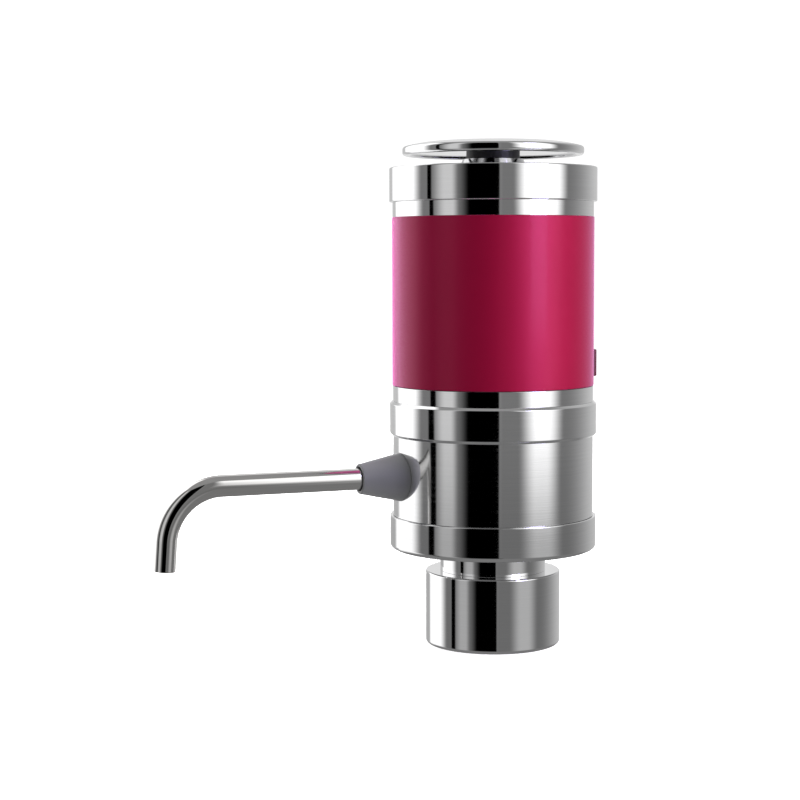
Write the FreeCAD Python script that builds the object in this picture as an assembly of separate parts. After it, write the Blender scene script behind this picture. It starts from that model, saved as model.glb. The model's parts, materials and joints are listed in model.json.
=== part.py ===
import FreeCAD, Part
import math
import os

# Electric bottle-top wine dispenser. Millimetres, +Z up, spout along -Y, release button on +Y.
# The origin is the centre of the bottle collar's rim, the mouth of the socket for the bottle.

V = FreeCAD.Vector
UP = V(0, 0, 1)
ACROSS = V(0, 1, 0)

# Clearances
FIT = 0.05              # radial, between pieces that are fixed together
RUN = 0.06              # radial, between a shaft or slide and its bore
SEAM = 0.15             # parting line between the body and the battery cover
PRESS_GAP = 0.12        # all round a button in its window
TOUCH = 0.1             # between a pusher and what it pushes
PAST = 1.0              # how far a cut runs past the face it leaves by

# Bottle collar, from the rim up
COLLAR_R = 19.1
COLLAR_WALL = 1.6
COLLAR_WEB = 2.0
COLLAR_ROUND = 1.0
COLLAR_TOP_ROUND = 0.5
BOTTLE_R = 14.9         # bore that takes the bottle's finish
BOTTLE_DEPTH = 14.0
GASKET_T = 2.2
GASKET_HOLE_R = 10.2
GASKET_TO_NUT = 0.2
NUT_T = 2.5
NUT_GAP = 0.9           # radial, between the nut and the collar's bore
NUT_SLOT_W = 2.4
NUT_SLOT_L = 2.0
NUT_SLOT_H = 1.2
NUT_SLOT_FROM_BORE = 1.0
NECK_R = 15.0
NECK_H = 7.15
NECK_WALL = 1.4

# Body shells
SHELL_R = 28.3
RING_PROUD = 0.9        # how far the three rings stand out from the shells
BASE_RING_H = 9.15
BASE_ROUND = 1.8
FLOOR_T = 1.8
RING_WALL = 1.5
SHELL_H = 22.5
SHELL_WALL = 1.8
SPIGOT_L = 4.0          # overlap of two stacked shells
TRIM_RING_H = 9.4
TRIM_CHAMFER = 0.9
LOWER_BAND_H = 4.35
EDGE_BREAK = 0.3

# Battery cover
SLEEVE_PROUD = 0.1
SLEEVE_OVER_CELLS = 2.7 # the sleeve's length beyond a cell's
SLEEVE_WALL = 1.2
TOP_BAND_H = 4.2
TOP_SPIGOT_L = 3.0
TOP_PLATE_T = 2.0
TOP_SEAT_T = 1.2        # lower plate of the top collar
TOP_PLUG_H = 2.4
TOP_CHAMFER = 0.4

# Push button; heights above the top collar, widths in from the disc's edge
BUTTON_R = 25.5
BUTTON_TOP_Z = 7.6
BUTTON_SHOULDER_W = 8.0 # where the dome begins to fall off
BUTTON_SHOULDER_Z = 7.25
BUTTON_NOSE_W = 0.7     # rounding of the upper edge
BUTTON_NOSE_Z = 6.05
BUTTON_BEAD_R = 0.9     # rounding of the lower edge
BUTTON_BEAD_Z = 3.3     # lowest place of the rim
BUTTON_RIM_W = 2.0
BUTTON_UNDER_Z = 3.95
BUTTON_STEP_W = 6.9
BUTTON_STEP_SLOPE = 0.6
BUTTON_STEP_Z = 3.05
BUTTON_STEP_IN_R = 11.6
BUTTON_TRAVEL = 1.5
STEM_R = 7.5
STEM_TOP_SPIGOT_R = 3.0
STEM_TOP_SPIGOT_H = 2.4
STEM_FLANGE_R = 9.2
STEM_FLANGE_T = 1.4
STEM_SPIGOT_GAP = 0.1   # above the spigot in the disc's bore
GUIDE_WALL = 2.4
GUIDE_BELOW = 0.4       # guide tube below its flange
GUIDE_FLANGE_R = 12.4
GUIDE_FLANGE_T = 1.5
GUIDE_LIP_H = 0.8
GUIDE_LIP_TAPER = 1.6
BUTTON_SPRING_R = 7.2   # to the middle of the wire
BUTTON_SPRING_WIRE_R = 0.4
SPRING_TURNS = 3

# Battery compartment
CELL_R = 5.25
CELL_L = 44.5
CELL_NUB_R = 1.9
CELL_NUB_H = 1.0
CELL_COUNT = 6
CELL_CLEARANCE = 0.15
CAGE_UP = 0.2           # the cage's foot above the cells'
CAGE_GAP = 1.1          # inside the sleeve
CAGE_LOW_GAP = 0.3      # inside the deck's collar
CAGE_NECK_H = 2.0       # narrow part above the deck's collar
CAGE_WEB = 1.8          # between a cell and the middle hole
CAGE_TOP_H = 10.0       # top part that the blind pockets leave whole
CAGE_RIB_H = 4.0
CAGE_RIB_FROM_TOP = 9.0
CAGE_LIGHTENING_R = 2.8
LIGHTENING_ANGLES = (210.0, 270.0, 330.0)
DECK_T = 2.0
DECK_SPIGOT_H = 11.05
DECK_SPIGOT_T = 1.5
CONTACT_T = 0.3
CONTACT_W = 4.6
CONTACT_RISE = 3.05
CONTACT_END_R = 8.0     # where the upper strips end, under the switch
LEAF_W = 2.0
BOARD_FROM_BORE = 2.0
BOARD_GAP = 0.6
BOARD_T = 1.2
SWITCH_W = 8.0
SWITCH_H = 4.2
PLUNGER_R = 1.6
PLUNGER_UP = 2.0
PLUNGER_DEPTH = 2.4

# Release button, in a window of the sleeve
RELEASE_W = 10.4
RELEASE_H = 7.7
RELEASE_UP = 2.0        # above the sleeve's lower edge
RELEASE_PROUD = 2.3
RELEASE_TRAVEL = 1.5
RELEASE_ROUND = 0.6
LATCH_W = 16.0          # crossbar that carries the two latch noses
LATCH_H = 5.0
LATCH_T = 1.9
LATCH_FROM_BORE = 5.2
NOSE_W = 1.6
NOSE_OUT = 1.75
LATCH_GAP = 0.3
NOTCH_DROP = 0.4        # the deck's notch below the sleeve's window
RELEASE_SPRING_L = 3.8
RELEASE_SPRING_R = 1.9  # to the middle of the wire
RELEASE_SPRING_WIRE_R = 0.3
SPRING_POCKET_GAP = 0.4

# Screws
SCREW_FROM_BORE = 5.0
CHASSIS_SCREW_ANGLES = (30.0, 150.0)
BOARD_SCREW_ANGLES = (30.0, 150.0, 270.0)
SCREW_R = 1.1
SCREW_HOLE_R = 1.35
SCREW_HEAD_R = 2.3
SCREW_HEAD_H = 1.2
SCREW_HEAD_GAP = 0.2
SCREW_DRIVE_SHARE = 0.45 # of the head's width
SCREW_PILOT_GAP = 0.02
SCREW_BITE = 7.0
SCREW_TIP_GAP = 0.5
PILOT_CAP = 0.5         # over the end of a blind pilot hole
SMALL_SCREW_R = 0.95
SMALL_HOLE_R = 1.05
SMALL_HEAD_R = 1.8
SMALL_HEAD_H = 0.9
BOARD_SCREW_BITE = 4.0

# Manifold, the moulding that carries wine and air through the neck
FLANGE_GAP = 1.0        # inside the lower shell
FLANGE_T = 2.5
RECESS_R = 9.5
NIPPLE_R = 2.6
NIPPLE_L = 9.4
CHANNEL_R = 1.6
CROSS_BELOW_FLOOR = 2.85
CROSS_ROOF = 3.0        # from the recess up to the line of the passage
CROSS_R = 1.3           # passage from the nipple across to the riser
CROSS_CAP = 0.2         # blind end of a bore above the passage that meets it
RISER_GAP = 1.5         # between the pump and the spout's elbow above the riser
RISER_FOOT_GAP = 0.3
BARB_R = 2.3
BARB_H = 5.0
ELBOW_BARB_H = 5.6
RISER_WALL = 1.05
AIR_Y = 7.0
AIR_R = 1.2
AIR_CROSS_R = 0.9
AIR_CROSS_UP = 1.2      # above the wine passage's line
SPIGOT_ORING_BELOW = 2.05 # under the base ring
SPIGOT_ORING_R = 0.7

# Spout
SPOUT_UP = 11.3         # above the base ring
TUBE_R = 2.9
TUBE_WALL = 0.5
TUBE_END_GAP = 1.0      # short of the socket's stop
BEND_START = 79.6       # distances from the body's axis
BEND_R = 15.5
BEND_DEG = 86.0
TIP_Z = 26.3
CONE_L = 11.4           # outside the shell
CONE_BIG_R = 6.6
CONE_SMALL_R = 4.15
CONE_LIP_R = 3.35
CONE_LIP_L = 1.0
SOCKET_R = 4.6
SOCKET_SHORT = 0.7      # inside the shell's face
SOCKET_FLANGE_R = 6.2
SOCKET_FLANGE_T = 1.6
SOCKET_FLANGE_GAP = 0.9
SOCKET_STOP_WALL = 0.8
ORING_R = 0.55
ORING_FROM_MOUTH = 7.6
ELBOW_R = 4.2
ELBOW_BELOW = 4.5
ELBOW_ABOVE = 4.0

# Air pump, motor uppermost
PUMP_R = 12.8
PUMP_WALL_GAP = 3.2     # between the pump and the lower shell
COVER_T = 2.4
COVER_FLOOR_T = 1.0
OUTLET_PLENUM_R = 3.3
PLENUM_WALL_R = 4.2
INLET_PLENUM_R = 8.8
COVER_INLET_R = 0.7
VALVE_PLATE_T = 1.6
VALVE_PORT_R = 0.45
INLET_PORT_PITCH_R = 1.3
OUTLET_PORT_PITCH_R = 2.0
UMBRELLA_T = 0.4
UMBRELLA_STEM_R = 0.6
UMBRELLA_STEM_SHORT = 0.2
INLET_UMBRELLA_R = 2.1
OUTLET_UMBRELLA_R = 2.9
MEMBRANE_T = 1.0
CASE_H = 11.8
CASE_WALL = 1.4
CASE_FLOOR_T = 1.0
CASE_TOP_T = 1.4
CASE_VENT_W = 6.0
CASE_VENT_UP = 4.0
CASE_VENT_H = 3.0
CUP_COUNT = 3
CUP_PITCH_R = 6.4
CUP_R = 3.5
CUP_WALL = 0.6
CUP_H = 6.0             # before the cups are trimmed to the wobble plate
CUP_GAP = 0.3
PUMP_SCREW_PITCH_R = 10.6
PUMP_SCREW_BOSS_R = 1.9
PUMP_SCREW_TIP = 6.2
OUTLET_R = 1.5
OUTLET_BORE_R = 0.8
OUTLET_L = 4.0
GROMMET_R = 2.95
GROMMET_BOSS_WALL = 1.2
GROMMET_BOSS_H = 2.25
GROMMET_SEAT_DEPTH = 2.0
CHECK_FLANGE_T = 0.8
CHECK_HOLE_R = 0.8
CHECK_BILL_GAP = 0.2
CHECK_BILL_T = 1.2
CHECK_SLIT_T = 0.3
CHECK_SLIT_W = 2.0
DAMPING_T = 3.25
DAMPING_R = 8.6
DAMPING_HOLE_R = 5.0
TILT_DEG = 9.0
WOBBLE_LIFT = 2.6       # underside of the arms above the point the plate rocks about
WOBBLE_ARM_T = 1.4
WOBBLE_ARM_W = 3.0
WOBBLE_PAD_R = 2.7
WOBBLE_HUB_R = 2.6
WOBBLE_HUB_H = 3.6
CRANK_R = 5.0
CRANK_H = 3.3
CRANK_Z = 6.9           # above the point the plate rocks about
PIN_R = 0.8
PIN_TIP = 3.1
PIN_TIP_GAP = 0.2
PIN_L = 5.6
CRANK_POCKET_R = 1.3
CRANK_POCKET_X = 3.1
CRANK_POCKET_FLOOR = 1.0
SHAFT_IN_CRANK = 1.3
MOTOR_R = 12.2
MOTOR_H = 14.0
MOTOR_WALL = 0.8
MOTOR_BOSS_R = 3.0
MOTOR_SCREW_PITCH_R = 8.0
MOTOR_ROUND = 0.6
MOTOR_CAP_T = 2.0
MOTOR_CAP_PLUG_H = 1.2
MOTOR_CAP_ROUND = 0.5
MOTOR_CAP_SKIN = 0.5    # over the shaft's end
MAGNET_T = 1.6
MAGNET_GAP = 0.05
MAGNET_UP = 2.0
MAGNET_H = 9.6
MAGNET_SPLIT = 7.0
ARMATURE_R = 9.2
ARMATURE_H = 8.6
ARMATURE_UP = 2.4
ARMATURE_HUB_R = 3.4
ARMATURE_SLOT_W = 2.2
COMMUTATOR_R = 2.6
COMMUTATOR_H = 1.6
SHAFT_R = 1.0
TERMINAL_X = 4.5
TERMINAL_W = 2.8
TERMINAL_T = 0.6
TERMINAL_H = 1.6
LEAD_R = 0.5
LEAD_GAP = 0.3
PAD_R = 10.4
PAD_HOLE_R = 7.4

# Inner frame
POST_R = 3.1
CRADLE_WALL = 1.6
CRADLE_H = 6.0
CRADLE_UP = 3.0         # above the motor's lower face
WEB_T = 3.0

# Radii and places that follow
BASE_RING_R = SHELL_R + RING_PROUD
RING_BORE = BASE_RING_R - RING_WALL
SHELL_BORE = SHELL_R - SHELL_WALL
SLEEVE_R = SHELL_R + SLEEVE_PROUD
SLEEVE_BORE = SLEEVE_R - SLEEVE_WALL
COLLAR_BORE = COLLAR_R - COLLAR_WALL
NUT_R = COLLAR_BORE - NUT_GAP
NECK_BORE = NECK_R - NECK_WALL
SPIGOT_R = NECK_BORE - FIT
FLANGE_R = SHELL_BORE - FLANGE_GAP
DECK_SPIGOT_R = SLEEVE_BORE - 2 * FIT
DECK_SPIGOT_BORE = DECK_SPIGOT_R - DECK_SPIGOT_T
SCREW_PITCH_R = SHELL_BORE - SCREW_FROM_BORE
CHASSIS_SCREWS = [(SCREW_PITCH_R * math.cos(math.radians(a)), SCREW_PITCH_R * math.sin(math.radians(a)))
                  for a in CHASSIS_SCREW_ANGLES]
FRONT_SCREW = (0, -SCREW_PITCH_R)
PUMP_Y = SHELL_BORE - PUMP_WALL_GAP - PUMP_R
RISER_Y = PUMP_Y - PUMP_R - RISER_GAP - ELBOW_R
COVER_INLET_PITCH_R = DAMPING_R + COVER_INLET_R
CUP_ANGLES = [360.0 / CUP_COUNT * i for i in range(CUP_COUNT)]
PUMP_SCREW_ANGLES = [a + 180.0 / CUP_COUNT for a in CUP_ANGLES]
SOCKET_END = SHELL_R - SOCKET_SHORT
SOCKET_FLANGE_END = SHELL_BORE - SOCKET_FLANGE_GAP
SOCKET_STOP = ELBOW_R - RISER_Y + SOCKET_STOP_WALL
TUBE_INNER_END = SOCKET_STOP + TUBE_END_GAP
ORING_FROM_AXIS = SOCKET_END - ORING_FROM_MOUTH
CONE_END = SHELL_R + CONE_L
CELL_ANGLES = [360.0 / CELL_COUNT * i for i in range(CELL_COUNT)]
CELL_BORE = CELL_R + CELL_CLEARANCE
LATCH_Y = SLEEVE_BORE - LATCH_FROM_BORE
LATCH_BACK_TRAVEL = LATCH_Y - RELEASE_TRAVEL - LATCH_GAP
CELL_PITCH_R = (LATCH_BACK_TRAVEL - FIT - CELL_R) / math.sin(math.radians(CELL_ANGLES[1]))
CAGE_LOW_R = DECK_SPIGOT_BORE - CAGE_LOW_GAP
CAGE_R = SLEEVE_BORE - CAGE_GAP
CAGE_HOLE_R = CELL_PITCH_R - CELL_BORE - CAGE_WEB
RELEASE_SPRING_Y = LATCH_Y - RELEASE_SPRING_L
RELEASE_FACE_R = SLEEVE_R + RELEASE_PROUD
BOARD_R = SHELL_BORE - BOARD_FROM_BORE
GUIDE_BORE = STEM_R + RUN
GUIDE_R = GUIDE_BORE + GUIDE_WALL

# Heights that follow, from the collar's rim up
NUT_Z = BOTTLE_DEPTH + GASKET_T + GASKET_TO_NUT
WEB_Z = NUT_Z + NUT_T
COLLAR_H = WEB_Z + COLLAR_WEB
BASE_Z = COLLAR_H + NECK_H
FLOOR_Z = BASE_Z + FLOOR_T
SHELL_Z = BASE_Z + BASE_RING_H
TRIM_Z = SHELL_Z + SHELL_H
LOWER_BAND_Z = TRIM_Z + TRIM_RING_H
SPLIT_Z = LOWER_BAND_Z + LOWER_BAND_H
TOP_BAND_Z = SPLIT_Z + CELL_L + SLEEVE_OVER_CELLS
TOP_COLLAR_Z = TOP_BAND_Z + TOP_BAND_H
FLANGE_TOP = FLOOR_Z + FLANGE_T
CROSS_Z = FLOOR_Z - CROSS_BELOW_FLOOR
RECESS_TOP = CROSS_Z - CROSS_ROOF
NIPPLE_TIP_Z = RECESS_TOP - NIPPLE_L
SPIGOT_ORING_Z = BASE_Z - SPIGOT_ORING_BELOW
GROMMET_SEAT_Z = FLANGE_TOP - GROMMET_SEAT_DEPTH
PUMP_BOTTOM_Z = FLANGE_TOP + DAMPING_T
VALVE_PLATE_Z = PUMP_BOTTOM_Z + COVER_T
MEMBRANE_Z = VALVE_PLATE_Z + VALVE_PLATE_T
CASE_Z = MEMBRANE_Z + MEMBRANE_T
MOTOR_Z = CASE_Z + CASE_H
CAP_Z = MOTOR_Z + MOTOR_H
MOTOR_TOP = CAP_Z + MOTOR_CAP_T
CRANK_BOTTOM = CASE_Z + CRANK_Z
SHAFT_Z = CRANK_BOTTOM + CRANK_H - SHAFT_IN_CRANK
SPOUT_Z = SHELL_Z + SPOUT_UP
DECK_UNDER = SPLIT_Z - DECK_T
CELL_Z = SPLIT_Z + CONTACT_T + CONTACT_RISE
CELL_TOP = CELL_Z + CELL_L
CAGE_Z = CELL_Z + CAGE_UP
RELEASE_Z = SPLIT_Z + RELEASE_UP
RELEASE_MID_Z = RELEASE_Z + RELEASE_H / 2
BOARD_Z = CELL_TOP + CONTACT_T
BOARD_TOP = BOARD_Z + BOARD_T
SWITCH_TOP = BOARD_TOP + SWITCH_H
STEM_Z = SWITCH_TOP + PLUNGER_UP + TOUCH
GUIDE_Z = STEM_Z + STEM_FLANGE_T + TOUCH
GUIDE_FLANGE_Z = GUIDE_Z + GUIDE_BELOW
TOP_Z = GUIDE_FLANGE_Z + GUIDE_FLANGE_T + TOP_PLATE_T
STEM_TOP = TOP_Z + BUTTON_UNDER_Z


def polar(radius, degrees, cx=0.0, cy=0.0):
    """The x and y of a point on a circle about (cx, cy)."""
    a = math.radians(degrees)
    return cx + radius * math.cos(a), cy + radius * math.sin(a)


def cyl(radius, z0, z1, x=0.0, y=0.0):
    """Upright cylinder between two heights."""
    return Part.makeCylinder(radius, z1 - z0, V(x, y, z0), UP)


def cyl_y(radius, y0, y1, x=0.0, z=0.0):
    """Cylinder along Y between two places."""
    return Part.makeCylinder(radius, y1 - y0, V(x, y0, z), ACROSS)


def tube(outer, inner, z0, z1, x=0.0, y=0.0):
    """Upright tube between two heights."""
    return cyl(outer, z0, z1, x, y).cut(cyl(inner, z0, z1, x, y))


def block(x0, x1, y0, y1, z0, z1):
    """Box between two corners."""
    return Part.makeBox(x1 - x0, y1 - y0, z1 - z0, V(x0, y0, z0))


def revolve(points, x=0.0, y=0.0):
    """Solid of revolution about an upright axis, from (radius, height) points."""
    corners = [V(r, 0, z) for r, z in points]
    face = Part.Face(Part.makePolygon(corners + corners[:1]))
    solid = face.revolve(V(0, 0, 0), UP, 360)
    solid.translate(V(x, y, 0))
    return solid


def arc_chain(start, heading, ends):
    """Arcs that run smoothly into each other, from (radius, height) start at a heading in degrees."""
    edges = []
    for end in ends:
        run, rise = end[0] - start[0], end[1] - start[1]
        turn = (math.degrees(math.atan2(rise, run)) - heading + 180.0) % 360.0 - 180.0
        reach = math.hypot(run, rise) / 2 / math.cos(math.radians(turn / 2))
        aim = math.radians(heading + turn / 2)
        middle = (start[0] + reach * math.cos(aim), start[1] + reach * math.sin(aim))
        edges.append(Part.Arc(*[V(r, 0, z) for r, z in (start, middle, end)]).toShape())
        heading += 2 * turn
        start = end
    return edges, heading


def line_chain(points):
    """Straight edges through (radius, height) points."""
    return [Part.LineSegment(V(a[0], 0, a[1]), V(b[0], 0, b[1])).toShape() for a, b in zip(points, points[1:])]


def fuse(shapes):
    """One solid from touching shapes."""
    return shapes[0].fuse(shapes[1:]).removeSplitter()


def cut(shape, tools):
    """The shape with each tool taken away."""
    for tool in tools:
        shape = shape.cut(tool)
    return shape


def rims(shape, radius, z):
    """The round edges of one radius at one height."""
    found = []
    for edge in shape.Edges:
        curve = edge.Curve
        if isinstance(curve, Part.Circle) and abs(curve.Radius - radius) < 1e-4:
            if abs(curve.Center.z - z) < 1e-4:
                found.append(edge)
    return found


def tilted(shape):
    """A shape made upright about the pump's rocking point, leaned with the crank pin."""
    shape.rotate(V(0, 0, 0), ACROSS, TILT_DEG)
    shape.translate(V(0, PUMP_Y, CASE_Z))
    return shape


def coil(mean_r, wire_r, length, turns):
    """Compression spring standing on the origin, with its wire's ends inside the length."""
    path = Part.makeHelix((length - 2 * wire_r) / turns, length - 2 * wire_r, mean_r)
    path.translate(V(0, 0, wire_r))
    ring = Part.Wire(Part.makeCircle(wire_r, V(mean_r, 0, wire_r), ACROSS))
    return Part.Wire(path.Edges).makePipeShell([ring], True, True)


def screw(x, y, seat_z, length, up, radius=SCREW_R, head_r=SCREW_HEAD_R, head_h=SCREW_HEAD_H):
    """Pan-head screw whose head seats at seat_z; up is +1 when the shank points up."""
    head = Part.makeCylinder(head_r, head_h, V(x, y, seat_z), V(0, 0, -up))
    shank = Part.makeCylinder(radius, length, V(x, y, seat_z), V(0, 0, up))
    head_top = V(x, y, seat_z - up * head_h)
    drive = Part.makeCylinder(head_r * SCREW_DRIVE_SHARE, head_h / 2, head_top, V(0, 0, up))
    return head.fuse(shank).removeSplitter().cut(drive)


def small_screw(x, y, seat_z, length, up):
    return screw(x, y, seat_z, length, up, SMALL_SCREW_R, SMALL_HEAD_R, SMALL_HEAD_H)


# ---------------------------------------------------------------- bottle end

def bottle_collar():
    body = tube(COLLAR_R, SPIGOT_R + FIT, 0, COLLAR_H)
    body = body.cut(cyl(COLLAR_BORE, -1, WEB_Z))
    body = body.makeFillet(COLLAR_ROUND, rims(body, COLLAR_R, 0))
    return body.makeFillet(COLLAR_TOP_ROUND, rims(body, COLLAR_R, COLLAR_H))


def bottle_seal():
    top = BOTTLE_DEPTH + GASKET_T
    return revolve([(BOTTLE_R, 0), (COLLAR_BORE - FIT, 0), (COLLAR_BORE - FIT, top),
                    (GASKET_HOLE_R, top), (GASKET_HOLE_R, BOTTLE_DEPTH), (BOTTLE_R, BOTTLE_DEPTH)])


def collar_nut():
    ring = tube(NUT_R, SPIGOT_R + SCREW_PILOT_GAP, NUT_Z, WEB_Z)
    near = SPIGOT_R + NUT_SLOT_FROM_BORE
    slots = [block(-NUT_SLOT_W / 2, NUT_SLOT_W / 2, y, y + NUT_SLOT_L, NUT_Z - PAST, NUT_Z + NUT_SLOT_H)
             for y in (near, -near - NUT_SLOT_L)]
    return cut(ring, slots)


def neck_sleeve():
    return tube(NECK_R, NECK_BORE, COLLAR_H, BASE_Z)


def manifold():
    body = fuse([cyl(FLANGE_R, FLOOR_Z, FLANGE_TOP), cyl(SPIGOT_R, NUT_Z, FLOOR_Z)])
    body = body.cut(cyl(RECESS_R, NUT_Z - PAST, RECESS_TOP))
    boss_r = GROMMET_R + FIT + GROMMET_BOSS_WALL
    body = fuse([body,
                 cyl(NIPPLE_R, NIPPLE_TIP_Z, RECESS_TOP),
                 cyl(BARB_R, FLANGE_TOP, FLANGE_TOP + BARB_H, 0, RISER_Y),
                 cyl(boss_r, FLANGE_TOP, FLANGE_TOP + GROMMET_BOSS_H, 0, PUMP_Y),
                 cyl(POST_R, FLANGE_TOP, FLANGE_TOP + SCREW_BITE, *FRONT_SCREW)])
    wine_path = [cyl(CHANNEL_R, NIPPLE_TIP_Z - PAST, CROSS_Z + CROSS_R + CROSS_CAP),
                 cyl_y(CROSS_R, RISER_Y, 0, 0, CROSS_Z),
                 cyl(CHANNEL_R, CROSS_Z - CROSS_R - CROSS_CAP, FLANGE_TOP + BARB_H + PAST, 0, RISER_Y)]
    air_path = [cyl(GROMMET_R + FIT, GROMMET_SEAT_Z, FLANGE_TOP + GROMMET_BOSS_H + PAST, 0, PUMP_Y),
                cyl(CHANNEL_R, CROSS_Z, GROMMET_SEAT_Z, 0, PUMP_Y),
                cyl_y(AIR_CROSS_R, AIR_Y, PUMP_Y, 0, CROSS_Z + AIR_CROSS_UP),
                cyl(AIR_R, RECESS_TOP - PAST, CROSS_Z + AIR_CROSS_UP + AIR_CROSS_R + CROSS_CAP, 0, AIR_Y)]
    holes = [cyl(SCREW_HOLE_R, FLOOR_Z - PAST, FLANGE_TOP + PAST, x, y) for x, y in CHASSIS_SCREWS]
    pilot = cyl(SCREW_R + SCREW_PILOT_GAP, FLOOR_Z - PAST, FLANGE_TOP + SCREW_BITE - PILOT_CAP,
                *FRONT_SCREW)
    groove = tube(SPIGOT_R + PAST, SPIGOT_R - 2 * SPIGOT_ORING_R,
                  SPIGOT_ORING_Z - SPIGOT_ORING_R - FIT, SPIGOT_ORING_Z + SPIGOT_ORING_R + FIT)
    return cut(body, wine_path + air_path + holes + [pilot, groove])


def spigot_oring():
    return Part.makeTorus(SPIGOT_R - SPIGOT_ORING_R, SPIGOT_ORING_R, V(0, 0, SPIGOT_ORING_Z), UP)


# ---------------------------------------------------------------- body shells

def base_ring():
    body = tube(BASE_RING_R, NECK_BORE, BASE_Z, SHELL_Z)
    body = body.cut(cyl(RING_BORE, FLOOR_Z, SHELL_Z + PAST))
    body = body.makeFillet(BASE_ROUND, rims(body, BASE_RING_R, BASE_Z))
    body = body.makeChamfer(EDGE_BREAK, rims(body, BASE_RING_R, SHELL_Z))
    for x, y in CHASSIS_SCREWS + [FRONT_SCREW]:
        body = body.cut(cyl(SCREW_HOLE_R, BASE_Z - PAST, FLOOR_Z + PAST, x, y))
        body = body.cut(cyl(SCREW_HEAD_R + SCREW_HEAD_GAP, BASE_Z - PAST, BASE_Z + SCREW_HEAD_H, x, y))
    return body


def lower_shell():
    spigot_r = RING_BORE - FIT
    body = tube(SHELL_R, SHELL_BORE, SHELL_Z, TRIM_Z)
    body = fuse([body,
                 tube(spigot_r, SHELL_BORE, SHELL_Z - SPIGOT_L, SHELL_Z),
                 tube(spigot_r, SHELL_BORE, TRIM_Z, TRIM_Z + SPIGOT_L)])
    return body.cut(cyl_y(SOCKET_R + FIT, -SHELL_R - PAST, 0, 0, SPOUT_Z))


def trim_ring():
    body = tube(BASE_RING_R, RING_BORE, TRIM_Z, LOWER_BAND_Z)
    edges = rims(body, BASE_RING_R, TRIM_Z) + rims(body, BASE_RING_R, LOWER_BAND_Z)
    return body.makeChamfer(TRIM_CHAMFER, edges)


def lower_band():
    body = tube(SHELL_R, SHELL_BORE, LOWER_BAND_Z, SPLIT_Z)
    return fuse([body, tube(RING_BORE - FIT, SHELL_BORE, LOWER_BAND_Z - SPIGOT_L, LOWER_BAND_Z)])


def base_screws():
    seat = BASE_Z + SCREW_HEAD_H
    length = FLANGE_TOP + SCREW_BITE - PILOT_CAP - SCREW_TIP_GAP - seat
    return Part.makeCompound([screw(x, y, seat, length, 1) for x, y in CHASSIS_SCREWS + [FRONT_SCREW]])


def partition_deck():
    plate = cyl(SHELL_BORE - FIT, DECK_UNDER, SPLIT_Z)
    collar = tube(DECK_SPIGOT_R, DECK_SPIGOT_BORE, SPLIT_Z, SPLIT_Z + DECK_SPIGOT_H)
    body = fuse([plate, collar])
    top = SPLIT_Z + DECK_SPIGOT_H
    notch_w = RELEASE_W / 2 + PRESS_GAP
    notch = block(-notch_w, notch_w, LATCH_Y, SLEEVE_R, RELEASE_Z - PRESS_GAP - NOTCH_DROP, top + PAST)
    body = body.cut(notch)
    nose_z = RELEASE_MID_Z - LATCH_H / 2
    for side in (-1, 1):
        inner = side * (LATCH_W / 2 - NOSE_W - LATCH_GAP)
        outer = side * (LATCH_W / 2 + LATCH_GAP)
        window = block(min(inner, outer), max(inner, outer), LATCH_Y, SLEEVE_R,
                       nose_z - LATCH_GAP, nose_z + LATCH_H + LATCH_GAP)
        body = body.cut(window)
    for x, y in CHASSIS_SCREWS:
        body = body.cut(cyl(SCREW_HOLE_R, DECK_UNDER - PAST, SPLIT_Z + PAST, x, y))
    for side in (-1, 1):
        body = body.cut(cyl(LEAD_R + LEAD_GAP, DECK_UNDER - PAST, SPLIT_Z + PAST, side * TERMINAL_X, PUMP_Y))
    return body


def deck_screws():
    length = DECK_T + SCREW_BITE - SCREW_TIP_GAP
    return Part.makeCompound([screw(x, y, SPLIT_Z, length, -1) for x, y in CHASSIS_SCREWS])


# ---------------------------------------------------------------- inner frame and air pump

def pump_frame():
    pieces = []
    cradle_z = MOTOR_Z + CRADLE_UP
    ring_r = MOTOR_R + FIT + CRADLE_WALL
    pieces.append(cyl(ring_r, cradle_z, cradle_z + CRADLE_H, 0, PUMP_Y))
    for x, y in CHASSIS_SCREWS:
        pieces.append(cyl(POST_R, FLANGE_TOP, DECK_UNDER, x, y))
        low, high = sorted((math.copysign(MOTOR_R, x), x))
        pieces.append(block(low, high, y - WEB_T / 2, y + WEB_T / 2, cradle_z, cradle_z + CRADLE_H))
    body = fuse(pieces).cut(cyl(MOTOR_R + FIT, cradle_z - PAST, cradle_z + CRADLE_H + PAST, 0, PUMP_Y))
    for x, y in CHASSIS_SCREWS:
        pilot_r = SCREW_R + SCREW_PILOT_GAP
        body = body.cut(cyl(pilot_r, FLANGE_TOP - PAST, FLANGE_TOP + SCREW_BITE, x, y))
        body = body.cut(cyl(pilot_r, DECK_UNDER - SCREW_BITE, DECK_UNDER + PAST, x, y))
    return body


def damping_ring():
    return tube(DAMPING_R, DAMPING_HOLE_R, FLANGE_TOP, PUMP_BOTTOM_Z, 0, PUMP_Y)


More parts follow.
